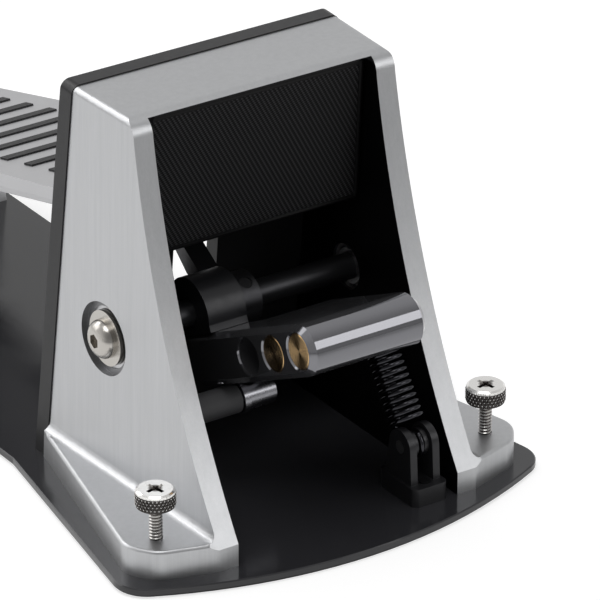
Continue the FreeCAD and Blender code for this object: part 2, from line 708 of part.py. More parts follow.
def arch_plan():
    """Prism of the arch's plan view, whose feet have rounded front corners."""
    half_plan = [
        ("dims.wall_half_front_foot", FOOT_Y),
        ("dims.flange_half_front", f"{FOOT_Y} + dims.flange_front_slope"),
        ("dims.flange_half_side", f"{FOOT_Y} + dims.flange_corner_back"),
        ("dims.wall_half_back_foot + 1.5", f"{FOOT_Y} + dims.arch_depth_foot"),
        ("dims.wall_half_back_foot + 1.5", LOFT_BACK),
    ]
    mirrored = [(f"-({x})", y) for x, y in reversed(half_plan)]
    prism = plan_pad(half_plan + mirrored, f"({BASE_TOP} - 1)", "dims.arch_height + 5")
    return dress(prism, "Fillet", "dims.flange_corner_radius",
                 lambda edge: runs_along(edge, Vector(0, 0, 1))
                 and abs(edge.CenterOfMass.x) > value("dims.flange_half_front - 1"))


def mouth_tool():
    """What the arch's mouth takes out: thin lip at the front, thicker roof behind it."""
    half = "dims.mouth_half_width"
    low = f"({BASE_TOP} - 5)"
    front = f"({FOOT_Y} - 5)"
    step = f"({FOOT_Y} + dims.brow_setback + dims.brow_radius + dims.lip_depth)"
    back = f"({FOOT_Y} + dims.arch_depth_foot + 5)"

    def passage(y0, y1, roof):
        corners = [(f"-{half}", low), (half, low), (half, roof), (f"-{half}", roof)]
        room = front_pad(corners, y0, f"({y1}) - ({y0})")
        return dress(room, "Fillet", "dims.mouth_corner_radius",
                     lambda edge: runs_along(edge, Vector(0, 1, 0))
                     and edge.CenterOfMass.z > value(BASE_TOP) + value("dims.arch_height") / 2)

    return [passage(front, step, f"({ARCH_TOP} - dims.lip_thick)"),
            passage(f"({step} - 1)", back, f"({ARCH_TOP} - dims.roof_thick)")]


def bearing_room(side):
    """Counterbore, bearing seat and through hole in one side wall."""
    inner = "(dims.mouth_half_width - 2)"
    seat = "(dims.axle_half_length - dims.bearing_width)"
    face = "dims.axle_half_length"
    outside = "(dims.wall_half_back_foot + 3)"
    spans = [("dims.shoulder_radius", inner, face), ("dims.bearing_radius", seat, outside),
             ("dims.recess_radius", face, outside)]
    return [rod_x(radius, *ordered(side, x0, x1), AXLE_Y, AXLE_Z) for radius, x0, x1 in spans]


def ordered(side, x0, x1):
    """Two distances from the centre plane as coordinates in rising order."""
    if side > 0:
        return x0, x1
    return f"-({x1})", f"-({x0})"


REAR_SCREW_HEIGHTS = [f"(dims.rear_screw_low + {index} * dims.rear_screw_pitch)" for index in range(3)]


def rear_screw(height, side, radius, start, length):
    """A bar square to the leaning back, from start behind the arch's back towards the front."""
    bar = doc.addObject("Part::Cylinder", fresh("Bar"))
    bind(bar, Radius=radius, Height=length)
    y = lean_y(height, f"({start}) * cos(dims.back_lean)")
    z = f"({BASE_TOP} + {height} + ({start}) * sin(dims.back_lean))"
    narrowing = "(dims.wall_half_back_foot - dims.wall_half_back_top) / dims.arch_height"
    x = f"{side} * (dims.mouth_half_width + dims.wall_half_back_foot - {narrowing} * {height}) / 2"
    tilt(bar, "90 + dims.back_lean", y, z, x)
    return bar


def build_arch():
    """Cast arch with side feet, the black rear plate and the screws between them."""
    whole = fuse(wall_taper("0", ARCH_TOP, "dims.arch_corner_radius"), foot_slab(-1), foot_slab(1))
    flange_z = value(f"{BASE_TOP} + dims.flange_thick")
    whole = dress(whole, "Fillet", "dims.flange_crease_radius",
                  lambda edge: abs(edge.CenterOfMass.z - flange_z) < 0.01
                  and edge.Length > value("dims.arch_depth_foot") / 2
                  and abs(edge.CenterOfMass.x) < value("dims.wall_half_back_foot + 1"))
    whole = common(common(whole, side_pad(arch_side_outline(), "4 * dims.wall_half_back_foot")), arch_plan())
    tools = mouth_tool()
    for side in (-1, 1):
        tools += bearing_room(side)
        tools.append(rod_z("dims.bolt_radius + dims.run_gap", "0", "60", f"{side} * dims.bolt_side", BOLT_Y))
        for height in REAR_SCREW_HEIGHTS:
            tools.append(rear_screw(height, side, "dims.m5_radius + dims.seat_gap", "1",
                                    "dims.rear_screw_length - dims.rear_plate_thick + 1.5"))
    tools += [countersunk(x, y, "dims.seat_gap") for group, x, y in screw_places() if group == "arch_screws"]
    tools.append(rod_x("dims.stop_spigot_radius + dims.seat_gap",
                       "-(dims.mouth_half_width + dims.stop_spigot_depth)", "0",
                       f"({FOOT_Y} + dims.stop_back)", f"({BASE_TOP} + dims.stop_height)"))
    node("arch_frame", cut(whole, *tools))


def build_rear_plate():
    """Flat black plate on the arch's back, with a slot for the drive bracket."""
    slab = side_pad([
        (lean_y("0"), BASE_TOP),
        (lean_y("0", "dims.rear_plate_thick"), BASE_TOP),
        (lean_y("dims.arch_height", "dims.rear_plate_thick"), f"{ARCH_TOP} + dims.rear_plate_margin"),
        (lean_y("dims.arch_height"), f"{ARCH_TOP} + dims.rear_plate_margin"),
    ], "3 * dims.wall_half_back_foot")
    taper = wall_taper("dims.rear_plate_margin", f"({ARCH_TOP} + dims.rear_plate_margin)",
                       "dims.rear_plate_radius")
    plate = common(slab, taper)
    slot = box("-dims.rear_slot_half_width", f"({FOOT_Y} + 80)", f"({BASE_TOP} + dims.rear_slot_low)",
               "dims.rear_slot_half_width", f"({FOOT_Y} + 160)", f"({BASE_TOP} + dims.rear_slot_high)")
    holes = []
    screws = []
    for side in (-1, 1):
        for height in REAR_SCREW_HEIGHTS:
            holes.append(rear_screw(height, side, "dims.m5_radius + dims.seat_gap",
                                    "dims.rear_plate_thick + 1", "dims.rear_plate_thick + 3"))
            holes.append(rear_screw(height, side, "dims.cap_radius + dims.seat_gap",
                                    "dims.rear_plate_thick + 1", "dims.cap_height + 1"))
            head = rear_screw(height, side, "dims.cap_radius", "dims.rear_plate_thick", "dims.cap_height")
            shank = rear_screw(height, side, "dims.m5_radius", "dims.rear_plate_thick", "dims.rear_screw_length")
            screws.append(fuse(head, shank))
    node("rear_plate", cut(plate, slot, *holes))
    node("rear_plate_screws", *screws)


def leaning_block(low, high, front, back, half_width, back_on_arch=False):
    """A block between two planes behind the pad's face, or up to the arch's leaning back."""
    def back_point(height):
        return lean_y(height, back) if back_on_arch else strike_y(height, back)

    return side_pad([
        (strike_y(low, front), f"{BASE_TOP} + {low}"),
        (back_point(low), f"{BASE_TOP} + {low}"),
        (back_point(high), f"{BASE_TOP} + {high}"),
        (strike_y(high, front), f"{BASE_TOP} + {high}"),
    ], f"2 * ({half_width})")


def round_upper_corners(thing, radius, half_width):
    """Round the two long upper edges that run from front to back."""
    middle = value(f"{BASE_TOP} + (dims.pad_low + dims.pad_high) / 2")
    return dress(thing, "Fillet", radius,
                 lambda edge: edge.CenterOfMass.z > middle
                 and abs(abs(edge.CenterOfMass.x) - value(half_width)) < 0.01
                 and runs_along(edge, Vector(0, 1, 0)))


def build_pad():
    """Woven strike face, foam, steel sensor plate, sensor disc and their housing."""
    low = "dims.pad_low"
    high = "dims.pad_high"
    half = "dims.pad_half_width"
    face_high = f"({high} + dims.pad_face_rise)"
    face = round_upper_corners(leaning_block(low, face_high, "0", "dims.pad_face_thick", half),
                               "dims.mouth_corner_radius - 1", half)
    node("strike_pad", face)
    shell_front = "(dims.pad_face_thick + dims.part_gap)"
    shell = leaning_block(low, high, shell_front, "-dims.part_gap", half, back_on_arch=True)
    shell = round_upper_corners(shell, "dims.mouth_corner_radius - 1", half)
    wall = "dims.housing_wall"
    room = leaning_block(f"({low} + {wall})", f"({high} - {wall})", f"({shell_front} - 1)",
                         f"-(dims.part_gap + {wall})", f"({half} - {wall})", back_on_arch=True)
    lead_hole = rod_z("dims.lead_radius + 0.5", f"{BASE_TOP} + {low} - 1", f"{BASE_TOP} + {low} + {wall} + 1",
                      LEAD_X, lead_y(low))
    node("pad_housing", cut(shell, room, lead_hole))
    gap = "dims.part_gap"
    inner_low = f"({low} + {wall} + {gap})"
    inner_high = f"({high} - {wall} - {gap})"
    inner_half = f"({half} - {wall} - {gap})"
    foam_back = f"({shell_front} + dims.pad_foam_thick)"
    node("pad_foam", leaning_block(inner_low, inner_high, shell_front, foam_back, inner_half))
    plate_front = f"({foam_back} + {gap})"
    plate_back = f"({plate_front} + dims.sensor_plate_thick)"
    node("sensor_plate", leaning_block(inner_low, inner_high, plate_front, plate_back, inner_half))
    rear_foam = leaning_block(inner_low, inner_high, f"({plate_back} + {gap})",
                              f"-(2 * {gap} + {wall})", inner_half, back_on_arch=True)
    middle = "((dims.pad_low + dims.pad_high) / 2)"
    disc = doc.addObject("Part::Cylinder", fresh("Bar"))
    bind(disc, Radius="dims.sensor_radius", Height="dims.sensor_thick")
    tilt(disc, "-dims.strike_angle", strike_y(middle, f"{plate_back} + 0.05"), f"{BASE_TOP} + {middle}")
    node("sensor_disc", disc)
    room = doc.addObject("Part::Cylinder", fresh("Bar"))
    bind(room, Radius="dims.sensor_radius + 2", Height="40")
    tilt(room, "-dims.strike_angle", strike_y(middle, plate_front), f"{BASE_TOP} + {middle}")
    channel = box(f"({LEAD_X} - 2)", f"({lead_y(low)} - 2)", f"{BASE_TOP} + {low}",
                  f"({LEAD_X} + 2)", f"({lead_y(low)} + 4)", f"({BASE_TOP} + {middle})")
    cross_channel = box("0", f"({lead_y(low)} - 2)", f"({BASE_TOP} + {middle} - 2)",
                        f"({LEAD_X} + 2)", f"({lead_y(low)} + 4)", f"({BASE_TOP} + {middle} + 2)")
    node("rear_foam", cut(rear_foam, room, channel, cross_channel))


LEAD_X = "(dims.mouth_half_width - 8)"


def lead_y(height):
    """y of the sensor's lead where it leaves the pad housing."""
    return lean_y(height, "-(dims.part_gap + dims.housing_wall + 4)")


# Axle, bearings and what holds them.
def build_axle():
    """Steel axle in two ball bearings, with a bolt and washer at each end."""
    x_end = "dims.axle_half_length"
    room = []
    washers = []
    bolts = []
    balls = []
    for side, word in ((-1, "left"), (1, "right")):
        bore0, bore1 = ordered(side, f"({x_end} - dims.axle_bolt_length - 2)", f"({x_end} + 1)")
        room.append(rod_x("dims.axle_bolt_radius + dims.seat_gap", bore0, bore1, AXLE_Y, AXLE_Z))
        x0, x1 = ordered(side, x_end, f"({x_end} + dims.washer_thick)")
        washer = rod_x("dims.washer_radius", x0, x1, AXLE_Y, AXLE_Z)
        hole0, hole1 = ordered(side, f"({x_end} - 1)", f"({x_end} + dims.washer_thick + 1)")
        washers.append(cut(washer, rod_x("dims.axle_bolt_radius + dims.seat_gap", hole0, hole1, AXLE_Y, AXLE_Z)))
        bolts.append(button_bolt(side))
        seat = f"({x_end} - dims.bearing_width)"
        outer0, outer1 = ordered(side, seat, f"({x_end} - 0.6)")
        reach0, reach1 = ordered(side, f"({seat} - 1)", f"({x_end} + 1)")
        outer = cut(rod_x("dims.bearing_radius - 0.02", outer0, outer1, AXLE_Y, AXLE_Z),
                    rod_x("dims.bearing_radius - dims.bearing_ring", reach0, reach1, AXLE_Y, AXLE_Z))
        node(f"bearing_outer_{word}", outer)
        inner0, inner1 = ordered(side, seat, x_end)
        inner = cut(rod_x("dims.axle_radius + dims.bearing_ring", inner0, inner1, AXLE_Y, AXLE_Z),
                    rod_x("dims.axle_radius + 0.02", reach0, reach1, AXLE_Y, AXLE_Z))
        node(f"bearing_inner_{word}", inner)
        balls += ball_ring(side)
    axle = rod_x("dims.axle_radius", f"-{x_end}", x_end, AXLE_Y, AXLE_Z)
    node("axle", cut(axle, *room))
    node("axle_washers", *washers)
    node("axle_bolts", *bolts)
    node("bearing_balls", *balls)


def ball_ring(side):
    """The balls of one bearing, evenly round the axle."""
    balls = []
    orbit = "((dims.bearing_radius + dims.axle_radius) / 2)"
    count = int(value("dims.ball_count"))
    for index in range(count):
        ball = doc.addObject("Part::Sphere", fresh("Ball"))
        bind(ball, Radius="dims.ball_radius")
        turn = f"({index} * 360 / {count})"
        x = f"{side} * (dims.axle_half_length - dims.bearing_width / 2)"
        place(ball, x, f"{AXLE_Y} + {orbit} * cos({turn})", f"{AXLE_Z} + {orbit} * sin({turn})")
        balls.append(ball)
    return balls


def button_bolt(side):
    """Button head bolt with a domed head and a hexagon socket."""
    body = new_body()
    face = "(dims.axle_half_length + dims.washer_thick)"
    top = f"({face} + dims.button_height)"
    tip = f"(dims.axle_half_length - dims.axle_bolt_length)"
    crown = "(dims.button_radius * 0.5)"
    rim = f"({face} + 0.25 * dims.button_height)"
    shoulder = f"({face} + 0.78 * dims.button_height)"
    profile = [
        (tip, 0), (tip, "dims.axle_bolt_radius"), (face, "dims.axle_bolt_radius"),
        (face, "dims.button_radius"), (rim, "dims.button_radius"),
        Through(shoulder, "dims.button_radius * 0.82"), (top, crown), (top, 0),
    ]
    if side < 0:
        profile = [Through(f"-({p.at[0]})", p.at[1]) if isinstance(p, Through)
                   else (f"-({p[0]})", p[1]) for p in profile]
    sketch = outline(body, "XZ_Plane", profile)
    turned = body.newObject("PartDesign::Revolution", fresh("Turned"))
    turned.Profile = sketch
    turned.ReferenceAxis = (sketch, ["H_Axis"])
    turned.Angle = 360
    body.Tip = turned
    socket = doc.addObject("Part::Prism", fresh("Socket"))
    socket.Polygon = 6
    bind(socket, Circumradius="dims.button_socket", Height="dims.button_height")
    place(socket, *(ordered(side, f"({top} - 3.2)", f"({top} - 3.2 + dims.button_height)")[0], 0, 0), ALONG_X)
    bolt = cut(body, socket)
    place(bolt, 0, AXLE_Y, AXLE_Z)
    return bolt


def on_hammer(thing):
    """Place what was made in the hammer's own frame: axle at the origin, plate along -Y."""
    return tilt(wrap(thing), f"-{REST_ANGLE}", AXLE_Y, AXLE_Z)


SPRING_LOCAL = f"(-dims.spring_pin_angle - {REST_ANGLE})"
SPRING_PIN_Y = f"(-dims.spring_pin_reach * cos({SPRING_LOCAL}))"
SPRING_PIN_Z = f"(dims.spring_pin_reach * sin({SPRING_LOCAL}))"
PLATE_IN = "(dims.plate_thick / 2 - dims.plate_offset)"
PLATE_OUT = "(-(dims.plate_offset + dims.plate_thick / 2))"
HOLES = [f"(dims.tip_reach - {index} * dims.hole_spacing)" for index in range(3)]
ARM_RIGHT = "(dims.arm_width - dims.plate_left)"
GRUB_X = "((dims.plate_right - dims.plate_left) / 2 + 1)"
HUB_LEFT = "(dims.hub_inset - dims.plate_left)"
HUB_RIGHT = f"({ARM_RIGHT} - dims.hub_inset)"
HUB_SCREWS = [(f"({HUB_LEFT} + {share} * ({HUB_RIGHT} - {HUB_LEFT}))", y)
              for share in (0.25, 0.75) for y in ("dims.hub_screw_reach", "(-dims.hub_screw_reach)")]


def hub_screw(x, y, gap=0):
    """Socket cap screw through the plate's outer face into the hub, or the room for it."""
    face = f"({PLATE_OUT} + dims.screw_recess)"
    under = f"({face} + dims.cap_height)"
    outer = f"({PLATE_OUT} - 1)" if gap else face
    tip = f"({PLATE_IN} + dims.hub_screw_depth + {gap})"
    return fuse(rod_z(f"(dims.cap_radius + {gap})", outer, under, x, y),
                rod_z(f"(dims.m5_radius + {gap})", f"({under} - 1)", tip, x, y))


def build_hammer():
    """Polished steel hammer plate with three cross holes, two of them filled with brass."""
    tip = "(-dims.tip_reach)"
    round_radius = "(dims.plate_thick / 2)"
    view = [
        ("-dims.plate_left", "dims.plate_heel"),
        ("-dims.plate_left", f"{tip} - {round_radius} - 1"),
        ("dims.plate_right", f"{tip} - {round_radius} - 1"),
        ("dims.plate_right", "-dims.plate_waist"),
        (ARM_RIGHT, "-dims.plate_waist"),
        (ARM_RIGHT, "dims.plate_heel"),
    ]
    slab = plan_pad(view, f"({PLATE_OUT} - 1)", "dims.plate_thick + 2")
    slab = dress(slab, "Fillet", "dims.waist_radius",
                 lambda edge: runs_along(edge, Vector(0, 0, 1))
                 and abs(edge.CenterOfMass.x - value(ARM_RIGHT)) < 0.01
                 and abs(edge.CenterOfMass.y + value("dims.plate_waist")) < 0.01)
    side = side_pad([
        ("dims.heel_bevel_start", PLATE_OUT),
        ("dims.plate_heel", f"{PLATE_OUT} + dims.heel_bevel_depth"),
        ("dims.plate_heel", PLATE_IN),
        (tip, PLATE_IN),
        Through(f"{tip} - {round_radius}", "-dims.plate_offset"),
        (tip, PLATE_OUT),
    ], "4 * dims.plate_right")
    plate = common(slab, side)
    ends = (value("-dims.plate_left"), value("dims.plate_right"))
    plate = dress(plate, "Chamfer", "dims.plate_bevel",
                  lambda edge: min(abs(edge.CenterOfMass.x - end) for end in ends) < 0.01)
    left = "(-dims.plate_left)"
    tools = [rod_x("dims.weight_radius + 0.02", f"({left} - 1)", "dims.plate_right + 1",
                   f"-{reach}", "-dims.plate_offset") for reach in HOLES[:2]]
    tools.append(rod_x("dims.weight_radius", f"({left} - 1)", f"({left} + dims.blind_depth)",
                       f"-{HOLES[2]}", "-dims.plate_offset"))
    weights = []
    grubs = []
    for reach in HOLES[:2]:
        weights.append(rod_x("dims.weight_radius", left, "dims.plate_right", f"-{reach}", "-dims.plate_offset"))
        seat = "(-(dims.plate_offset + dims.weight_radius + dims.seat_gap))"
        tools.append(rod_z("dims.grub_radius + dims.seat_gap", f"{PLATE_OUT} - 1", "-dims.plate_offset",
                           GRUB_X, f"-{reach}"))
        grubs.append(rod_z("dims.grub_radius", f"({seat} - dims.grub_length)", seat, GRUB_X, f"-{reach}"))
    tools += [hub_screw(x, y, "dims.seat_gap") for x, y in HUB_SCREWS]
    tools.append(rod_x("dims.spring_pin_radius + 0.02", "(dims.plate_right - dims.spring_pin_depth)",
                       "(dims.plate_right + 1)", SPRING_PIN_Y, SPRING_PIN_Z))
    block = dress(cut(plate, *tools), "Chamfer", "dims.hole_bevel",
                  lambda edge: abs(edge.CenterOfMass.x - ends[0]) < 0.01 and edge.Closed
                  and isinstance(edge.Curve, Part.Circle))
    node("hammer_block", on_hammer(block))
    node("brass_weight_outer", on_hammer(weights[0]))
    node("brass_weight_inner", on_hammer(weights[1]))
    node("weight_set_screws", *[on_hammer(grub) for grub in grubs])
    node("hammer_screws", *[on_hammer(hub_screw(x, y)) for x, y in HUB_SCREWS])


def build_hub():
    """Black clamp hub between the axle and the hammer plate."""
    boss = rod_x("dims.hub_radius", HUB_LEFT, HUB_RIGHT)
    ears = box(HUB_LEFT, "0", "-dims.hub_clamp_half", HUB_RIGHT, "dims.hub_clamp_reach", "dims.hub_clamp_half")
    face = f"({PLATE_IN} + 0.02)"
    seat = box(HUB_LEFT, "-(dims.hub_screw_reach + 5)", face, HUB_RIGHT, "dims.hub_screw_reach + 5", "0")
    solid = fuse(boss, ears, seat)
    beyond = box(f"({HUB_LEFT} - 1)", "-(2 * dims.hub_radius)", f"({face} - dims.hub_radius)",
                 f"({HUB_RIGHT} + 1)", "2 * dims.hub_radius", face)
    bore = rod_x("dims.axle_radius + 0.02", f"({HUB_LEFT} - 1)", f"({HUB_RIGHT} + 1)")
    slit = box(f"({HUB_LEFT} - 1)", "0", "-dims.hub_slit / 2", f"({HUB_RIGHT} + 1)",
               "dims.hub_clamp_reach + 1", "dims.hub_slit / 2")
    clamp_x = f"(({HUB_LEFT} + {HUB_RIGHT}) / 2)"
    clamp_y = "((dims.hub_clamp_reach + dims.hub_radius) / 2)"
    half = "dims.hub_clamp_half"
    clamp_hole = rod_z("dims.m5_radius + dims.seat_gap", f"-2 * {half}", f"2 * {half}", clamp_x, clamp_y)
    clamp_screw = fuse(rod_z("dims.m5_radius", f"-{half}", half, clamp_x, clamp_y),
                       rod_z("dims.cap_radius", half, f"{half} + dims.cap_height", clamp_x, clamp_y))
    screw_room = [hub_screw(x, y, "dims.seat_gap") for x, y in HUB_SCREWS]
    node("hub", on_hammer(cut(solid, beyond, bore, slit, clamp_hole, *screw_room)))
    node("hub_clamp_screw", on_hammer(clamp_screw))


ROLLER_BACK = (f"({HINGE_Y} - {AXLE_Y} - dims.roller_reach * cos(dims.board_angle)"
               " - dims.roller_drop * sin(dims.board_angle))")
ROLLER_UP = (f"({HINGE_Z} - {AXLE_Z} + dims.roller_reach * sin(dims.board_angle)"
             " - dims.roller_drop * cos(dims.board_angle))")
LEVER_ANGLE = f"(atan({ROLLER_UP} / {ROLLER_BACK}) / 1 deg + {REST_ANGLE})"


def build_cam_lever():
    """Steel lever on the axle, whose flat upper edge the drive roller bears on at rest and strike."""
    flat = "-(dims.roller_radius + dims.cam_gap)"
    low = f"{flat} - dims.lever_belly"
    blade = side_pad([
        ("0", "0"),
        ("dims.axle_radius", flat),
        ("dims.lever_reach", flat),
        ("dims.lever_reach", f"{flat} - dims.lever_tip_depth"),
        ("dims.lever_reach / 2", low),
        ("0", f"0.5 - dims.lever_boss_radius"),
    ], "2 * dims.lever_half_width")
    half = "dims.lever_half_width"
    boss = rod_x("dims.lever_boss_radius", f"-{half}", half)
    bore = rod_x("dims.axle_radius + 0.02", f"-({half} + 1)", f"({half} + 1)")
    grub_room = rod_z("dims.grub_radius + dims.seat_gap", "0", "dims.lever_boss_radius + 1")
    grub = rod_z("dims.grub_radius", "dims.axle_radius + 0.3", "dims.lever_boss_radius - 0.5")
    lever = cut(fuse(boss, blade), bore, grub_room)
    node("cam_lever", on_hammer(tilt(wrap(lever), LEVER_ANGLE, "0", "0")))
    node("lever_set_screw", on_hammer(tilt(wrap(grub), LEVER_ANGLE, "0", "0")))


def turned(point, degrees):
    """A (y, z) point turned about +X."""
    angle = math.radians(degrees)
    y, z = point
    return (y * math.cos(angle) - z * math.sin(angle), y * math.sin(angle) + z * math.cos(angle))


def grooved_bush(bore):
    """Grooved bush round the X axis, centred on the spring's plane."""
    half = "(dims.bush_width / 2)"
    groove = "(dims.bush_groove_width / 2)"
    ring = rod_x("dims.bush_radius", f"-{half}", half)
    channel = cut(rod_x("dims.bush_radius + 1", f"-{groove}", groove),
                  rod_x("dims.bush_groove_radius", f"-{groove} - 1", f"{groove} + 1"))
    return cut(ring, channel, rod_x(bore, f"-{half} - 1", f"{half} + 1"))


def build_spring_pin():
    """Pin in the hammer plate's right end, with the grooved bush for the spring's upper hook."""
    seat = "(dims.plate_right - dims.spring_pin_depth)"
    bush_end = "(dims.spring_side + dims.bush_width / 2 + dims.part_gap)"
    pin = fuse(rod_x("dims.spring_pin_radius", seat, bush_end, SPRING_PIN_Y, SPRING_PIN_Z),
               rod_x("dims.spring_pin_radius + 1.5", "dims.plate_right",
                     "dims.spring_side - dims.bush_width / 2 - dims.part_gap", SPRING_PIN_Y, SPRING_PIN_Z),
               rod_x("dims.spring_pin_radius + 1.8", bush_end, f"({bush_end} + 1.6)", SPRING_PIN_Y, SPRING_PIN_Z))
    node("spring_pin", on_hammer(pin))
    bush = grooved_bush("dims.spring_pin_radius + dims.run_gap")
    node("spring_bush", on_hammer(place(bush, "dims.spring_side", SPRING_PIN_Y, SPRING_PIN_Z)))


def build_anchor():
    """Black anchor block on the base plate, whose ears hold the spring's lower pin."""
    pin_y = ANCHOR_Y
    pin_z = f"({BASE_TOP} + dims.anchor_pin_height)"
    block_top = f"({BASE_TOP} + dims.anchor_height)"
    x = "dims.spring_side"
    front = f"({pin_y} - dims.anchor_front)"
    back = f"({pin_y} + dims.anchor_back)"
    block = solid_block(f"({x} - dims.anchor_half_width)", front, BASE_TOP, f"({x} + dims.anchor_half_width)", back, block_top)
    block = dress(block, "Fillet", "3",
                  lambda edge: runs_along(edge, Vector(0, 0, 1)))
    ears = []
    for side in (-1, 1):
        near = f"({x} + {side} * (dims.bush_width / 2 + dims.part_gap + dims.anchor_ear_thick / 2))"
        r = "dims.anchor_ear_radius"
        ears.append(side_pad([
            (f"{pin_y} - {r}", pin_z),
            Through(pin_y, f"{pin_z} + {r}"),
            (f"{pin_y} + {r}", pin_z),
            (f"{pin_y} + {r} + 3", f"{block_top} - 1"),
            (f"{pin_y} - {r} - 1", f"{block_top} - 1"),
        ], "dims.anchor_ear_thick", near))
    reach = "(dims.bush_width / 2 + dims.part_gap + dims.anchor_ear_thick)"
    pin_hole = rod_x("dims.anchor_pin_radius + 0.02", f"({x} - {reach} - 1)", f"({x} + {reach} + 1)", pin_y, pin_z)
    screws = [countersunk(sx, sy, "dims.seat_gap") for group, sx, sy in screw_places() if group == "anchor_screws"]
    node("spring_anchor", cut(fuse(block, *ears), pin_hole, *screws))
    node("anchor_pin", rod_x("dims.anchor_pin_radius", f"({x} - {reach})", f"({x} + {reach})", pin_y, pin_z))
    bush = grooved_bush("dims.anchor_pin_radius + dims.run_gap")
    node("anchor_bush", place(bush, x, pin_y, pin_z))


def biarc(p0, t0, p1, t1):
    """Two arcs from p0 along t0 to p1 along t1."""
    v = p1 - p0
    t = t0 + t1
    a = 2 * (1 - t0.dot(t1))
    b = 2 * v.dot(t)
    c = -v.dot(v)
    if abs(a) < 1e-9:
        d = -c / b
    else:
        d = (-b + math.sqrt(b * b - 4 * a * c)) / (2 * a)
    joint = (p0 + t0 * d + p1 - t1 * d) * 0.5

    def arc(start, tangent, finish):
        chord = finish - start
        side = tangent.cross(chord)
        if side.Length < 1e-7 * chord.Length:
            return Part.LineSegment(start, finish).toShape()
        centre_way = side.cross(tangent).normalize()
        radius = chord.dot(chord) / (2 * chord.dot(centre_way))
        centre = start + centre_way * radius
        middle_way = (start - centre).normalize() + (finish - centre).normalize()
        if middle_way.Length < 1e-9:
            middle_way = tangent * 1.0
        middle = centre + middle_way.normalize() * abs(radius)
        return Part.Arc(start, middle, finish).toShape()

    return [arc(p0, t0, joint), arc(joint, joint_tangent(p0, t0, joint), p1)]


def joint_tangent(start, tangent, finish):
    """The direction in which an arc that leaves start along tangent arrives at finish."""
    chord = (finish - start).normalize()
    return (chord * (2 * chord.dot(tangent)) - tangent).normalize()


def spring_stations(length):
    """Points and directions along the spring's wire: lower hook, coils, upper hook."""
    hook = value("dims.bush_groove_radius + dims.hook_gap + dims.wire_radius")
    coil = value("dims.coil_radius")
    turns = value("dims.coil_turns")
    clear = hook + value("dims.wire_radius + dims.hook_neck")
    coil_low = clear
    coil_high = length - clear
    stations = []
    # Lower hook: three quarters of a circle in the plane x = 0, open at its front upper side.
    for degrees in (150, 210, 270, 330, 390):
        angle = math.radians(degrees)
        stations.append((Vector(0, hook * math.cos(angle), hook * math.sin(angle)),
                         Vector(0, -math.sin(angle), math.cos(angle))))
    steps = int(round(turns * 4))
    rise = (coil_high - coil_low) / turns
    for index in range(steps + 1):
        angle = math.radians(90 * index + 135)
        height = coil_low + rise * index / 4
        radial = Vector(math.cos(angle), math.sin(angle), 0)
        around = Vector(-math.sin(angle), math.cos(angle), 0)
        slope = rise / (2 * math.pi * coil)
        stations.append((radial * coil + Vector(0, 0, height), (around + Vector(0, 0, slope)).normalize()))
    last = math.radians(90 * steps + 135)
    flip = 1 if math.sin(last + math.radians(45)) > 0 else -1
    for degrees in (-30, 30, 90, 150, 210):
        angle = math.radians(degrees)
        stations.append((Vector(0, flip * hook * math.cos(angle), length + hook * math.sin(angle)),
                         Vector(0, -flip * math.sin(angle), math.cos(angle))))
    return stations


def least_gap(points, wire, reach):
    """Least clearance between stretches of the wire that are further than reach apart along it."""
    best = 1e9
    along = [0.0]
    for before, after in zip(points, points[1:]):
        along.append(along[-1] + (after - before).Length)
    for i, p in enumerate(points):
        for j in range(i + 1, len(points)):
            if along[j] - along[i] > reach:
                best = min(best, (points[j] - p).Length)
    return best - 2 * wire


def build_spring():
    """Tension spring between the anchor's pin and the hammer's spring pin, one wire throughout."""
    low_y, low_z = value(ANCHOR_Y), value(f"{BASE_TOP} + dims.anchor_pin_height")
    pin = turned((value(SPRING_PIN_Y), value(SPRING_PIN_Z)), -value(REST_ANGLE))
    high_y, high_z = pin[0] + value(AXLE_Y), pin[1] + value(AXLE_Z)
    length = math.hypot(high_y - low_y, high_z - low_z)
    lean = math.degrees(math.atan2(high_y - low_y, high_z - low_z))
    stations = spring_stations(length)
    edges = []
    for (p0, t0), (p1, t1) in zip(stations, stations[1:]):
        edges += biarc(p0, t0, p1, t1)
    path = Part.Wire(edges)
    start, way = stations[0]
    section = Part.Wire(Part.Circle(start, way, value("dims.wire_radius")).toShape())
    shell = Part.BRepOffsetAPI.MakePipeShell(path)
    shell.add(section)
    shell.build()
    shell.makeSolid()
    solid = shell.shape()
    wire = value("dims.wire_radius")
    gap = least_gap(path.discretize(Distance=0.8), wire, 6 * wire)
    expected = math.pi * wire ** 2 * path.Length
    print(f"spring: length {length:.2f}, lean {lean:.2f}, least gap {gap:.2f}, "
          f"volume share {solid.Volume / expected:.4f}, radii {min(radii(edges)):.2f}")
    spring = doc.addObject("Part::Feature", fresh("Spring"))
    spring.Shape = solid
    spring.Placement = Placement(Vector(value("dims.spring_side"), low_y, low_z), Rotation(Vector(1, 0, 0), -lean))
    node("tension_spring", spring)


def radii(edges):
    """Radii of the arcs among some edges."""
    return [edge.Curve.Radius for edge in edges if isinstance(edge.Curve, Part.Circle)]


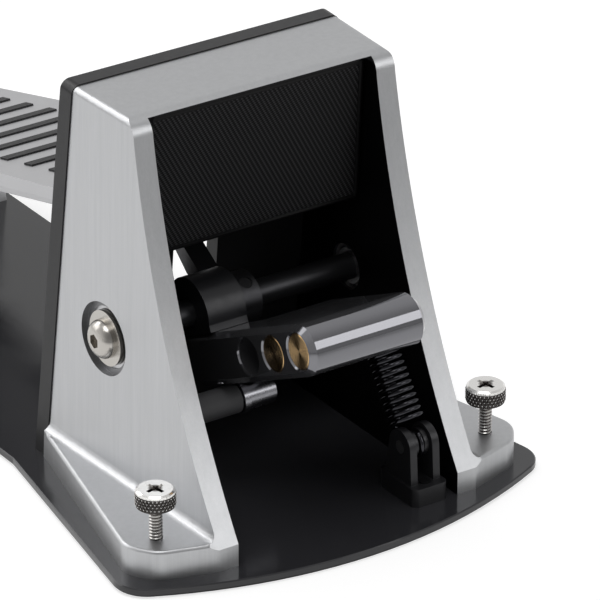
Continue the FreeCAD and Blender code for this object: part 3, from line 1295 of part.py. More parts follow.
def build_rest_stop():
    """Stop rod in the left wall with a black sleeve, and the collar that the hammer plate rests on."""
    y = f"({FOOT_Y} + dims.stop_back)"
    z = f"({BASE_TOP} + dims.stop_height)"
    wall = "(-dims.mouth_half_width)"
    sleeve_end = f"({wall} + dims.stop_sleeve_length)"
    collar_end = f"({sleeve_end} + 0.8 + dims.stop_collar_width)"
    rod = fuse(rod_x("dims.stop_spigot_radius", f"({wall} - dims.stop_spigot_depth)", collar_end, y, z),
               rod_x("dims.stop_collar_radius", f"({sleeve_end} + 0.8)", collar_end, y, z),
               rod_x("dims.stop_radius", collar_end, "-dims.stop_end", y, z))
    node("stop_rod", rod)
    sleeve = cut(rod_x("dims.stop_radius", wall, sleeve_end, y, z),
                 rod_x("dims.stop_spigot_radius + 0.02", f"({wall} - 1)", f"({sleeve_end} + 1)", y, z))
    node("stop_sleeve", sleeve)


def build_anchor_bolts():
    """Two knurled bolts in the arch's feet, which screw down into the carpet."""
    foot_top = f"({BASE_TOP} + dims.flange_thick)"
    low = f"({foot_top} + dims.bolt_stand)"
    top = f"({low} + dims.bolt_head_height)"
    bevel = "dims.bolt_head_bevel"
    rim = f"(dims.bolt_head_radius - {bevel})"
    for side, word in ((-1, "left"), (1, "right")):
        x = f"({side} * dims.bolt_side)"
        head = fuse(cone_z(rim, "dims.bolt_head_radius", low, f"({low} + {bevel})", x, BOLT_Y),
                    rod_z("dims.bolt_head_radius", f"({low} + {bevel})", f"({top} - {bevel})", x, BOLT_Y),
                    cone_z("dims.bolt_head_radius", rim, f"({top} - {bevel})", top, x, BOLT_Y))
        tip = "dims.part_gap"
        shank = fuse(cone_z("0.4", "dims.bolt_radius", tip, f"({tip} + dims.bolt_tip)", x, BOLT_Y),
                     rod_z("dims.bolt_radius", f"({tip} + dims.bolt_tip)", f"({low} + 1)", x, BOLT_Y))
        length, width = "dims.cross_half_length", "dims.cross_half_width"
        slots = []
        for a, b in ((length, width), (width, length)):
            slots.append(box(f"({x} - {a})", f"({BOLT_Y} - {b})", f"({top} - dims.cross_depth)",
                             f"({x} + {a})", f"({BOLT_Y} + {b})", f"({top} + 1)"))
        node(f"anchor_bolt_{word}", cut(fuse(head, shank), *slots))


def on_board(thing):
    """Place what was made in the footboard's own frame: hinge at the origin, toe along -Y."""
    return tilt(wrap(thing), "-dims.board_angle", HINGE_Y, HINGE_Z)


def build_footboard():
    """Cast footboard with ribs, hinge barrel, grip strips and a toe stop."""
    neck = "dims.knuckle_half_width"
    plate = plan_pad([
        (f"-{neck}", "dims.board_heel"),
        (f"-{neck}", "10 - dims.board_neck"),
        ("-dims.board_half_heel", "-dims.board_neck"),
        ("-dims.board_half_toe", "-dims.board_length"),
        ("dims.board_half_toe", "-dims.board_length"),
        ("dims.board_half_heel", "-dims.board_neck"),
        (neck, "10 - dims.board_neck"),
        (neck, "dims.board_heel"),
    ], BOARD_UNDER, "dims.board_thick")
    plate = dress(plate, "Fillet", "dims.board_corner_radius",
                  lambda edge: runs_along(edge, Vector(0, 0, 1))
                  and edge.CenterOfMass.y < -value("dims.board_length - 1"))
    parts = [plate]
    for side in (-1, 1):
        x0, x1 = ordered(side, "(dims.rib_side - dims.rib_width / 2)", "(dims.rib_side + dims.rib_width / 2)")
        parts.append(box(x0, "8 - dims.board_length", f"({BOARD_UNDER} - dims.rib_depth)",
                         x1, "-(dims.board_neck + 2)", f"({BOARD_UNDER} + 1)"))
    half = "dims.knuckle_half_width"
    parts.append(rod_x("dims.knuckle_radius", f"-{half}", half))
    parts.append(box(f"-{half}", "-dims.knuckle_radius", "0", half, "0", f"({BOARD_UNDER} + 1)"))
    bore = rod_x("dims.hinge_pin_radius + dims.hinge_bush_wall + 0.02", f"-{half} - 1", f"{half} + 1")
    tools = [bore]
    strips = []
    for index in range(int(value("dims.strip_count"))):
        y = f"(-(dims.strip_first + {index} * dims.strip_pitch))"
        low = "(dims.board_top - dims.strip_depth)"
        tools.append(box("-dims.strip_half_length", f"{y} - dims.strip_width / 2", low,
                         "dims.strip_half_length", f"{y} + dims.strip_width / 2", "dims.board_top + 1"))
        fit = "dims.seat_gap"
        strips.append(on_board(box(f"({fit} - dims.strip_half_length)", f"({y} - dims.strip_width / 2 + {fit})", low,
                                   f"(dims.strip_half_length - {fit})", f"({y} + dims.strip_width / 2 - {fit})",
                                   "dims.board_top + dims.strip_proud")))
    screws = []
    for x, y in BRACKET_SCREWS:
        tools.append(bracket_screw(x, y, "dims.seat_gap"))
        screws.append(on_board(bracket_screw(x, y, "0")))
    node("footboard", on_board(cut(fuse(*parts), *tools)))
    node("grip_strips", *strips)
    node("bracket_screws", *screws)
    stop_back = "(-(dims.board_length - 4 - dims.toe_stop_depth))"
    stop = solid_block("-dims.toe_stop_half_width", "4 - dims.board_length", "dims.board_top",
               "dims.toe_stop_half_width", stop_back, "dims.board_top + dims.toe_stop_height")
    stop = dress(stop, "Fillet", "dims.toe_stop_depth / 3",
                 lambda edge: edge.CenterOfMass.z > value("dims.board_top + dims.toe_stop_height / 2"))
    node("toe_stop", on_board(stop))
    bushes = []
    for side in (-1, 1):
        x0, x1 = ordered(side, "(dims.knuckle_half_width - dims.hinge_bush_length)", "dims.knuckle_half_width")
        bush = cut(rod_x("dims.hinge_pin_radius + dims.hinge_bush_wall", x0, x1),
                   rod_x("dims.hinge_pin_radius + dims.run_gap", f"({x0} - 1)", f"({x1} + 1)"))
        bushes.append(on_board(bush))
    node("hinge_bushes", *bushes)


BRACKET_SCREWS = [(x, y) for x in ("(-dims.bracket_screw_side)", "dims.bracket_screw_side")
                  for y in ("(-(dims.bracket_back + dims.bracket_screw_margin))",
                            "(-(dims.bracket_back + dims.bracket_screw_margin + dims.bracket_screw_pitch))")]


def bracket_screw(x, y, gap):
    """Countersunk screw from the footboard's upper face into the drive bracket, or its room."""
    top = f"(dims.board_top + {gap})"
    neck = f"(dims.board_top - dims.m5_head_height)"
    tip = f"({BOARD_UNDER} - dims.bracket_flat - {gap})"
    head = f"(dims.m5_head_radius + {gap})"
    shank = f"(dims.m5_radius + {gap})"
    return fuse(cone_z(shank, head, neck, top, x, y), rod_z(shank, tip, top, x, y))


def build_drive():
    """Drive bracket under the toe, with the roller that bears on the cam lever."""
    ear0 = "(dims.roller_half_width + dims.part_gap)"
    ear1 = f"({ear0} + dims.bracket_ear_thick)"
    flat = box("-dims.bracket_half_width", "-dims.bracket_front", f"({BOARD_UNDER} - dims.bracket_flat)",
               "dims.bracket_half_width", "-dims.bracket_back", BOARD_UNDER)
    r = "dims.bracket_ear_radius"
    under = f"({BOARD_UNDER} - dims.bracket_flat)"
    ears = []
    pin_y = "(-dims.roller_reach)"
    pin_z = "(-dims.roller_drop)"
    for side in (-1, 1):
        middle = f"({side} * ({ear0} + {ear1}) / 2)"
        ears.append(side_pad([
            ("-dims.bracket_back - 4", f"{under} + 1"),
            ("-dims.bracket_front", f"{under} + 1"),
            (f"{pin_y}", f"{pin_z} + {r}"),
            Through(f"{pin_y} - {r}", pin_z),
            (f"{pin_y}", f"{pin_z} - {r}"),
            (f"{pin_y} + 12", f"{pin_z} - {r}"),
        ], "dims.bracket_ear_thick", middle))
    reach = f"({ear1} + 1)"
    hole = rod_x("dims.roller_pin_radius + 0.02", f"-{reach}", reach, pin_y, pin_z)
    holes = [bracket_screw(x, y, "dims.seat_gap") for x, y in BRACKET_SCREWS]
    node("drive_bracket", on_board(cut(fuse(flat, *ears), hole, *holes)))
    node("roller_pin", on_board(rod_x("dims.roller_pin_radius", f"-{ear1}", ear1, pin_y, pin_z)))
    roller = cut(rod_x("dims.roller_radius", "-dims.roller_half_width", "dims.roller_half_width", pin_y, pin_z),
                 rod_x("dims.roller_pin_radius + dims.run_gap", "-dims.roller_half_width - 1",
                       "dims.roller_half_width + 1", pin_y, pin_z))
    node("drive_roller", on_board(roller))


def build_heel():
    """Heel block with two ears for the hinge pin, and the plate that the heel rests on."""
    half = "dims.heel_block_half_width"
    front = f"({HINGE_Y} - dims.heel_block_front)"
    back = "(dims.half_length - dims.heel_inset)"
    plate_top = f"({HINGE_Z} + dims.board_top - 1)"
    block_top = f"({plate_top} - dims.heel_plate_thick)"
    start = f"({HINGE_Y} + dims.heel_plate_start)"
    r = "dims.heel_ear_radius"
    side = side_pad([
        (front, BASE_TOP),
        (back, BASE_TOP),
        (back, block_top),
        (start, block_top),
        (f"{HINGE_Y} + {r}", HINGE_Z),
        Through(HINGE_Y, f"{HINGE_Z} + {r}"),
        (f"{HINGE_Y} - {r}", HINGE_Z),
    ], f"2 * ({half})")
    room = f"(dims.knuckle_radius + dims.knuckle_gap)"
    knuckle_half = "(dims.knuckle_half_width + dims.part_gap)"
    tools = [
        box(f"-{knuckle_half}", f"({front} - 1)", f"({HINGE_Z} - {room})",
            knuckle_half, f"({HINGE_Y} + {room})", f"({HINGE_Z} + 40)"),
        box(f"-{knuckle_half}", f"({front} - 1)", f"({BASE_TOP} + 6)",
            knuckle_half, f"({HINGE_Y} - 6)", f"({HINGE_Z} + 40)"),
        rod_x("dims.hinge_pin_radius + 0.02", f"-({half} + 1)", f"({half} + 1)", HINGE_Y, HINGE_Z),
        box(f"-({half} - 8)", f"({HINGE_Y} + {room} + 4)", f"({BASE_TOP} + 14)",
            f"({half} - 8)", f"({back} - 5)", f"({block_top} - 6)"),
    ]
    tools += [countersunk(x, y, "dims.seat_gap") for group, x, y in screw_places() if group == "heel_screws"]
    node("heel_block", cut(side, *tools))
    node("hinge_pin", rod_x("dims.hinge_pin_radius", f"-{half}", half, HINGE_Y, HINGE_Z))
    plate = solid_block(f"-{half}", start, block_top, half, back, plate_top)
    plate = dress(plate, "Fillet", "6",
                  lambda edge: runs_along(edge, Vector(0, 0, 1))
                  and edge.CenterOfMass.y > value(back) - 1)
    node("heel_plate", plate)


def build_jack():
    """Jack box behind the arch, with the output jack in its outer face, and the sensor's lead."""
    left, right = "dims.jack_box_left", "dims.jack_box_right"
    front = f"({FOOT_Y} + dims.jack_box_front)"
    back = f"({FOOT_Y} + dims.jack_box_back)"
    top = f"({BASE_TOP} + dims.jack_box_height)"
    wall = "dims.jack_box_wall"
    shell = solid_block(left, front, BASE_TOP, right, back, top)
    shell = dress(shell, "Fillet", "2.5",
                  lambda edge: edge.CenterOfMass.z > value(BASE_TOP) + 1)
    room = box(f"{left} + {wall}", f"{front} + {wall}", f"({BASE_TOP} - 1)",
               f"{right} - {wall}", f"{back} - {wall}", f"{top} - {wall}")
    y = f"(({front} + {back}) / 2 + dims.jack_offset)"
    z = f"({BASE_TOP} + dims.jack_height)"
    hole = rod_x("dims.jack_bush_radius + dims.seat_gap", f"({right} - 5)", f"({right} + 5)", y, z)
    screw_x = f"(({left} + {right}) / 2)"
    screw_y = f"({front} + 1.2 * dims.m5_head_radius)"
    post = cut(rod_z("dims.m5_radius + 1.6", BASE_TOP, f"({top} - {wall} + 0.5)", screw_x, screw_y),
               countersunk(screw_x, screw_y, "dims.seat_gap"))
    lead_room = rod_y("dims.lead_radius + 0.4", f"({front} - 2)", f"({front} + 6)", JACK_LEAD_X, JACK_LEAD_Z)
    node("jack_box", cut(fuse(cut(shell, room), post), hole, lead_room))
    body_left = f"({right} - {wall} - dims.jack_body_length)"
    half = "dims.jack_body_half"
    body = box(body_left, f"({y} - {half})", f"({z} - {half})", f"({right} - {wall})", f"({y} + {half})",
               f"({z} + {half})")
    bush = rod_x("dims.jack_bush_radius", f"({right} - {wall} - 1)", f"({right} + dims.jack_bush_proud)", y, z)
    bore = rod_x("dims.jack_bore_radius", f"({body_left} + 1.5)", f"({right} + 20)", y, z)
    node("output_jack", cut(fuse(body, bush), bore))
    nut = doc.addObject("Part::Prism", fresh("Nut"))
    nut.Polygon = 6
    bind(nut, Circumradius="dims.jack_nut_radius", Height="dims.jack_nut_thick")
    place(nut, right, y, z, ALONG_X)
    node("jack_nut", cut(nut, rod_x("dims.jack_bush_radius + 0.02", f"({right} - 1)", f"({right} + 5)", y, z)))


def rod_y(radius, y0, y1, x=0, z=0):
    """A round bar along Y."""
    bar = doc.addObject("Part::Cylinder", fresh("Bar"))
    bind(bar, Radius=radius, Height=f"({y1}) - ({y0})")
    return place(bar, x, y0, z, ALONG_Y)


JACK_LEAD_X = "(dims.jack_box_left + 4)"
JACK_LEAD_Z = f"({BASE_TOP} + dims.jack_box_height - 7)"


build_base()
build_arch()
build_rear_plate()
build_pad()
build_axle()
build_hammer()
build_hub()
build_cam_lever()
build_spring_pin()
build_anchor()
build_spring()
build_rest_stop()
build_anchor_bolts()
build_footboard()
build_drive()
build_heel()
build_jack()
doc.recompute()

faults = [thing.Name for thing in doc.Objects if "Invalid" in thing.State or "Error" in thing.State]
for name, thing in nodes.items():
    if thing.Shape.isNull() or not thing.Shape.isValid() or not thing.Shape.Solids:
        faults.append(name)
if faults:
    raise RuntimeError(f"failed objects: {faults}")

os.makedirs("parts", exist_ok=True)
for name, thing in nodes.items():
    thing.Shape.exportStep(f"parts/{name}.step")
    print(name, len(thing.Shape.Solids), round(thing.Shape.Volume, 1))
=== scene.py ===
import json
import math

import bmesh
import bpy
from mathutils import Matrix, Vector


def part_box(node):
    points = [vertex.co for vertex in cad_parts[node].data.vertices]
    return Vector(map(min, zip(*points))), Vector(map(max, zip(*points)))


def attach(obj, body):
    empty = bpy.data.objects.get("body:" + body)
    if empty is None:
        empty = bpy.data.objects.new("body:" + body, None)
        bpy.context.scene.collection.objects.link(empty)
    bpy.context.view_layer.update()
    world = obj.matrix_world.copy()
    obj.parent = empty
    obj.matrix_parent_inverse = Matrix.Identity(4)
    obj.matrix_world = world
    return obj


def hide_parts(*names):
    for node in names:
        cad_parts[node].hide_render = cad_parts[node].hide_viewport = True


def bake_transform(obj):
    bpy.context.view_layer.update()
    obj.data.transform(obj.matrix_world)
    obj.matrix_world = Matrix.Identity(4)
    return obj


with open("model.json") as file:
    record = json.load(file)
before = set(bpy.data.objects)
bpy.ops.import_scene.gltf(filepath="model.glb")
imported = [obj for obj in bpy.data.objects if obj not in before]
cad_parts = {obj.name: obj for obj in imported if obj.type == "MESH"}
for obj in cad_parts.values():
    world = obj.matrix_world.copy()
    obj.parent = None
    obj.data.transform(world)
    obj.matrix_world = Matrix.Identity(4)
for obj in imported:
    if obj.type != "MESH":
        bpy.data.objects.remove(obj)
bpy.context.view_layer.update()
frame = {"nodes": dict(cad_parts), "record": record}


# Base plate: a flat steel plate with a powder coat of gloss black, its upper edge broken by a
# small bevel. A thin rubber sheet is glued under it, and countersunk screws come up through it
# into the arch, the heel block, the spring's anchor and the jack box.
class Socket:
    """One output of a shader node. Arithmetic on it adds Math nodes."""

    def __init__(self, finish, output):
        self.finish = finish
        self.output = output

    def maths(self, operation, first, second=0.0):
        return self.finish.add("ShaderNodeMath", {"operation": operation}, {0: first, 1: second})

    def __add__(self, other):
        return self.maths("ADD", self, other)

    def __radd__(self, other):
        return self.maths("ADD", other, self)

    def __sub__(self, other):
        return self.maths("SUBTRACT", self, other)

    def __rsub__(self, other):
        return self.maths("SUBTRACT", other, self)

    def __mul__(self, other):
        return self.maths("MULTIPLY", self, other)

    def __rmul__(self, other):
        return self.maths("MULTIPLY", other, self)

    def size(self):
        return self.maths("ABSOLUTE", self)

    def sine(self):
        return self.maths("SINE", self)

    def greater(self, other):
        return self.maths("MAXIMUM", self, other)

    def step(self, low, high):
        """0 at low and below, 1 at high and above, smooth between them."""
        return self.finish.add("ShaderNodeMapRange", {"interpolation_type": "SMOOTHSTEP"},
                               {"Value": self, "From Min": low, "From Max": high})


class Finish:
    """A material made of nodes on the piece's own coordinates, in metres."""

    def __init__(self, name, colour, roughness, metallic=0.0, **others):
        self.material = bpy.data.materials.new(name)
        self.material.use_nodes = True
        self.tree = self.material.node_tree
        self.shader = self.tree.nodes["Principled BSDF"]
        self.place = self.add("ShaderNodeTexCoord", output="Object")
        self.shade({"Base Color": colour, "Roughness": roughness, "Metallic": metallic, **others})

    def add(self, kind, settings=None, sockets=None, output=0):
        """A new node with its settings and what its sockets get, as the socket of one output."""
        node = self.tree.nodes.new(kind)
        for name, setting in (settings or {}).items():
            setattr(node, name, setting)
        for name, given in (sockets or {}).items():
            self.feed(node.inputs[name], given)
        return Socket(self, node.outputs[output])

    def feed(self, socket, given):
        if isinstance(given, Socket):
            self.tree.links.new(given.output, socket)
        elif isinstance(given, (tuple, list)) and len(given) == 3 and socket.type == "RGBA":
            socket.default_value = (*given, 1)
        else:
            socket.default_value = given

    def shade(self, sockets):
        for name, given in sockets.items():
            self.feed(self.shader.inputs[name], given)

    def mix(self, factor, first, second):
        return self.add("ShaderNodeMix", {"data_type": "RGBA"}, {0: factor, 6: first, 7: second}, 2)

    def mapped(self, centre=(0, 0, 0), turn=(0, 0, 0), stretch=(1, 1, 1)):
        """The piece's coordinates measured from a centre, turned, then stretched."""
        moved = self.add("ShaderNodeVectorMath", {"operation": "SUBTRACT"}, {0: self.place, 1: centre})
        turned = self.add("ShaderNodeVectorRotate", {"rotation_type": "EULER_XYZ"},
                          {"Vector": moved, "Rotation": turn})
        return self.add("ShaderNodeVectorMath", {"operation": "MULTIPLY"}, {0: turned, 1: stretch})

    def noise(self, scale, detail=2.0, place=None, roughness=0.5):
        return self.add("ShaderNodeTexNoise", {}, {"Vector": place or self.place, "Scale": scale,
                                                   "Detail": detail, "Roughness": roughness})

    def axis(self, name, place=None):
        return self.add("ShaderNodeSeparateXYZ", {}, {"Vector": place or self.place}, name)

    def length(self, place):
        """How far a place is from the origin."""
        return self.add("ShaderNodeVectorMath", {"operation": "LENGTH"}, {0: place}, "Value")

    def bump(self, height, distance):
        """Relief of a height socket, whose 1 is distance high, in metres."""
        self.shade({"Normal": self.add("ShaderNodeBump", {}, {"Height": height, "Distance": distance,
                                                              "Strength": 1.0})})


nodes = frame["nodes"]


def cover(finish, *names):
    """Give CAD nodes a finish."""
    for name in names:
        for slot in nodes[name].material_slots:
            slot.material = finish.material


gloss_black = Finish("gloss_black_powder_coat", (0.025, 0.025, 0.028), 0.16)
orange_peel = gloss_black.noise(420, 2)
smudge = gloss_black.noise(28, 3).step(0.35, 0.75)
gloss_black.shade({"Roughness": smudge * 0.10 + 0.13})
gloss_black.bump(orange_peel, 0.00002)
cover(gloss_black, "base_plate")

rubber = Finish("black_rubber", (0.018, 0.018, 0.019), 0.75)
rubber.shade({"Roughness": rubber.noise(900, 2) * 0.25 + 0.6})
rubber.bump(rubber.noise(1500, 2), 0.00004)
cover(rubber, "rubber_mat")

black_oxide = Finish("black_oxide_screws", (0.03, 0.03, 0.032), 0.38, 0.9)
black_oxide.shade({"Roughness": black_oxide.noise(600, 2) * 0.2 + 0.3})
cover(black_oxide, "arch_screws", "heel_screws", "anchor_screws", "jack_box_screws")


# Arch: one aluminium casting, machined outside and brushed upright, with a fine grain and edges
# that are just broken. Its mouth, between the walls and under the roof, is painted dull black.
body_of = {name: body for body, names in frame["record"]["behaviour"]["bodies"].items() for name in names}
mm = 0.001
TOUCHING = 1e-6
FLAT = math.radians(0.6)
SHARP = math.radians(28)
SHADED_SHARP = math.radians(32)


def copied(node, name):
    """A new object in the scene with a copy of a CAD node's mesh."""
    piece = bpy.data.objects.new(name, nodes[node].data.copy())
    bpy.context.scene.collection.objects.link(piece)
    return piece


def softened(name, width, wide=0.0, rounded=None):
    """A copy of a CAD node's shape whose sharp edges are broken by width, and which stands for the
    node. The sharp edges whose ends rounded() picks are rounded by wide."""
    piece = copied(name, f"{name}_edges_broken")
    mesh = piece.data
    shape = bmesh.new()
    shape.from_mesh(mesh)
    bmesh.ops.remove_doubles(shape, verts=shape.verts, dist=TOUCHING)
    bmesh.ops.dissolve_degenerate(shape, dist=TOUCHING, edges=shape.edges)
    bmesh.ops.dissolve_limit(shape, angle_limit=FLAT, verts=shape.verts, edges=shape.edges)

    def break_edges(size, segments, picked, clamped):
        sharp = [edge for edge in shape.edges if len(edge.link_faces) == 2
                 and edge.calc_face_angle(0) > SHARP and all(picked(vert.co) for vert in edge.verts)]
        bmesh.ops.bevel(shape, geom=sharp, offset=size, offset_type="OFFSET", affect="EDGES",
                        segments=segments, profile=0.5, material=-1, clamp_overlap=clamped)

    if wide:
        break_edges(wide, 4, rounded, False)
    break_edges(width, 2, lambda place: True, True)
    bmesh.ops.triangulate(shape, faces=[face for face in shape.faces if len(face.verts) > 4])
    shape.to_mesh(mesh)
    shape.free()
    mesh.shade_smooth()
    mesh.set_sharp_from_angle(angle=SHADED_SHARP)
    even = piece.modifiers.new("even_shading", "WEIGHTED_NORMAL")
    even.keep_sharp = True
    even.weight = 100
    evaluated = piece.evaluated_get(bpy.context.evaluated_depsgraph_get())
    piece.data = bpy.data.meshes.new_from_object(evaluated)
    piece.modifiers.clear()
    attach(piece, body_of[name])
    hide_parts(name)
    return piece


def paint(finish, *pieces):
    """Give new pieces a finish."""
    for piece in pieces:
        piece.data.materials.clear()
        piece.data.materials.append(finish.material)


MOUTH_HALF = 56.3 * mm
MOUTH_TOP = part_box("arch_frame")[1].z - 1.1 * mm
FOOT_TOP = 18.0 * mm
EDGE_BREAK = 0.45 * mm
FOOT_RIM_ROUNDING = 1.6 * mm
BOLT_SIDE = 85.0 * mm
BOLT_Y = -177.0 * mm
BOLT_HOLE_REACH = 4 * mm
AXLE = Vector((0, -111, 79.2)) * mm
BEARING_RECESS_RADIUS = 16.4 * mm

brushed = Finish("brushed_aluminium", (0.8, 0.8, 0.81), 0.4, 1.0)
grain = brushed.noise(1.0, 3, brushed.mapped(stretch=(2600, 2600, 55)), 0.6)
long_grain = brushed.noise(1.0, 2, brushed.mapped(stretch=(420, 420, 9)))
clouds = brushed.noise(14, 3)
inside_walls = 1 - brushed.axis("X").size().step(MOUTH_HALF + 0.1 * mm, MOUTH_HALF + 0.25 * mm)
under_roof = 1 - brushed.axis("Z").step(MOUTH_TOP - 0.1 * mm, MOUTH_TOP + 0.1 * mm)
mouth = inside_walls * under_roof
metal = brushed.mix(grain * 0.6 + long_grain * 0.4, (0.39, 0.395, 0.405), (0.55, 0.555, 0.565))
# Painted shade: wherever the arch lies within the bearing recess's radius of the axle, the aluminium is
# painted dark grey for the shade inside each bearing recess.
axle_reach = brushed.length(brushed.mapped(AXLE, stretch=(0, 1, 1)))
painted_recess_shade_mask = 1 - axle_reach.step(BEARING_RECESS_RADIUS, BEARING_RECESS_RADIUS + 0.3 * mm)
metal_with_painted_recess_shade = brushed.mix(painted_recess_shade_mask, metal, (0.2, 0.2, 0.205))
brushed.shade({
    "Base Color": brushed.mix(mouth, metal_with_painted_recess_shade, (0.006, 0.006, 0.0065)),
    "Roughness": mouth * 0.3 + grain * 0.14 + clouds * 0.1 + 0.27,
})
brushed.bump(grain * (1 - mouth), 0.00003)


def on_foot_rim(place):
    """Whether a point is on the upper rim of a foot, and not on its bolt hole."""
    from_hole = math.hypot(abs(place.x) - BOLT_SIDE, place.y - BOLT_Y)
    return abs(place.z - FOOT_TOP) < 0.01 * mm and from_hole > BOLT_HOLE_REACH


paint(brushed, softened("arch_frame", EDGE_BREAK, FOOT_RIM_ROUNDING, on_foot_rim))


# Rear plate: a flat steel plate, black and satin, which closes the arch's back. Six socket screws
# hold it, and a slot lets the drive bracket through.
satin_black = Finish("satin_black_paint", (0.012, 0.012, 0.013), 0.38, **{"Specular IOR Level": 0.3})
satin_black.shade({"Roughness": satin_black.noise(300, 3) * 0.16 + 0.3})
satin_black.bump(satin_black.noise(900, 2), 0.00002)
paint(satin_black, softened("rear_plate", 0.5 * mm))
cover(black_oxide, "rear_plate_screws")


# Strike pad: a woven black mesh stretched over foam, held all round by a smooth sewn rim. A plastic
# housing behind it holds the foam, the steel sensor plate and the sensor.
PAD_LEAN = math.radians(90 - 86.3)
PAD_HALF = 55.4 * mm
PAD_RIM = 3.2 * mm
PAD_THICK = 4.0 * mm
PAD_CORNER = 4.0 * mm
ROLLED_EDGE = 1.6 * mm
ROLLED_DEPTH = 1.5 * mm
CHANNEL_WIDTH = 0.45 * mm
CHANNEL_DEPTH = 0.45 * mm
CROWN_REACH = 16 * mm
CROWN_HEIGHT = 0.5 * mm
pad_low, pad_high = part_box("strike_pad")


def as_piece(name, shape):
    """A new object in the scene, with its mesh, from a bmesh, which is freed."""
    mesh = bpy.data.meshes.new(f"{name}_mesh")
    shape.to_mesh(mesh)
    shape.free()
    piece = bpy.data.objects.new(name, mesh)
    bpy.context.scene.collection.objects.link(piece)
    return piece


def shade_smooth(piece, degrees):
    """Smooth shading, but for the edges that are sharper than an angle."""
    piece.data.shade_smooth()
    piece.data.set_sharp_from_angle(angle=math.radians(degrees))


def build_pad_face():
    """The crowned woven face with its rim, as a closed slab in the pad's leaning plane."""
    height = (pad_high.z - pad_low.z) / math.cos(PAD_LEAN) - PAD_THICK * math.sin(PAD_LEAN)
    shape = bmesh.new()
    bmesh.ops.create_grid(shape, x_segments=88, y_segments=52, size=0.5)
    bmesh.ops.scale(shape, vec=(2 * PAD_HALF, height, 1), verts=shape.verts)
    half = (PAD_HALF, height / 2)
    for vert in shape.verts:
        # Crowd the grid's rows towards the rim, and round the corners.
        for k in (0, 1):
            share = min(1.0, abs(vert.co[k]) / half[k])
            vert.co[k] = math.copysign(half[k] * (1 - (1 - share) ** 1.5), vert.co[k])
        over = [max(0.0, abs(vert.co[k]) - (half[k] - PAD_CORNER)) for k in (0, 1)]
        reach = math.hypot(*over)
        if over[0] and over[1] and reach > 0:
            longest = max(over)
            for k in (0, 1):
                core = half[k] - PAD_CORNER
                vert.co[k] = math.copysign(core + over[k] * longest / reach, vert.co[k])
    for vert in shape.verts:
        depth = [max(0.0, half[k] - abs(vert.co[k])) for k in (0, 1)]
        edge = min(depth)
        rolled = max(0.0, 1 - edge / ROLLED_EDGE) ** 2
        channel = math.exp(-((edge - PAD_RIM) / CHANNEL_WIDTH) ** 2)
        fallen = (1 - min(1.0, edge / CROWN_REACH)) ** 2
        vert.co.z = -ROLLED_DEPTH * rolled - CHANNEL_DEPTH * channel - CROWN_HEIGHT * fallen
    outline = [edge for edge in shape.edges if edge.is_boundary]
    wall = bmesh.ops.extrude_edge_only(shape, edges=outline)
    rim_verts = [item for item in wall["geom"] if isinstance(item, bmesh.types.BMVert)]
    for vert in rim_verts:
        vert.co.z = -(PAD_THICK - 0.1 * mm)
    rim_edges = [item for item in wall["geom"] if isinstance(item, bmesh.types.BMEdge)]
    bmesh.ops.contextual_create(shape, geom=rim_edges)
    bmesh.ops.recalc_face_normals(shape, faces=shape.faces)
    uv = shape.loops.layers.uv.new("weave")
    for face in shape.faces:
        for loop in face.loops:
            loop[uv].uv = loop.vert.co.xy
    # Local x is the object's x, local y climbs the plane, which leans forward, and local z is its front.
    centre = Vector((0, pad_low.y + pad_high.y - PAD_THICK,
                     pad_low.z + pad_high.z - PAD_THICK * math.sin(PAD_LEAN))) / 2
    upright = Matrix.Rotation(math.radians(90) + PAD_LEAN, 4, "X")
    shape.transform(Matrix.Translation(centre) @ upright)
    piece = as_piece("strike_pad_woven_face", shape)
    shade_smooth(piece, 40)
    return piece


woven = Finish("woven_black_mesh", (0.02, 0.02, 0.021), 0.62, **{"Specular IOR Level": 0.15})
thread_place = woven.add("ShaderNodeUVMap", {"uv_map": "weave"})
RIB_PITCH = 1.9 * mm
RIB_SLANT = math.radians(29)
THREAD_PITCH = 1.15 * mm
THREAD_SLANT = 0.35
sideways = woven.axis("X", thread_place)
upwards = woven.axis("Y", thread_place)
ribs_over = (sideways * (math.cos(RIB_SLANT) * 2 * math.pi / RIB_PITCH)
             + upwards * (math.sin(RIB_SLANT) * 2 * math.pi / RIB_PITCH)).sine()
threads = (upwards * (2 * math.pi / THREAD_PITCH)
           - sideways * (THREAD_SLANT * 2 * math.pi / THREAD_PITCH)).sine()
weave = (ribs_over * 0.62 + threads * 0.38) * 0.5 + 0.5
rim_x = PAD_HALF - PAD_RIM
rim_y = (pad_high.z - pad_low.z) / 2 - PAD_RIM
sewn_rim = sideways.size().step(rim_x - 0.2 * mm, rim_x + 0.2 * mm).greater(
    upwards.size().step(rim_y - 0.2 * mm, rim_y + 0.2 * mm))
thread_colour = woven.mix(weave.step(0.5, 0.8), (0.0008, 0.0008, 0.001), (0.034, 0.034, 0.036))
woven.shade({
    "Base Color": woven.mix(sewn_rim, thread_colour, (0.003, 0.003, 0.0033)),
    "Roughness": 0.55 - sewn_rim * 0.15,
})
woven.bump(weave * (1 - sewn_rim), 0.00035)
pad = build_pad_face()
paint(woven, pad)
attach(pad, "root")
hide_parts("strike_pad")

moulded = Finish("moulded_black_plastic", (0.014, 0.014, 0.015), 0.55)
moulded.shade({"Roughness": moulded.noise(500, 2) * 0.15 + 0.48})
moulded.bump(moulded.noise(1300, 2), 0.00005)
cover(moulded, "pad_housing")

foam = Finish("closed_cell_foam", (0.03, 0.03, 0.031), 0.9)
foam.bump(foam.add("ShaderNodeTexVoronoi", {}, {"Vector": foam.place, "Scale": 900}), 0.0002)
cover(foam, "pad_foam", "rear_foam")

sensor_brass = Finish("sensor_brass", (0.7, 0.5, 0.2), 0.3, 1.0)
sensor_brass.shade({"Roughness": sensor_brass.noise(200, 2) * 0.2 + 0.25})
cover(sensor_brass, "sensor_disc")

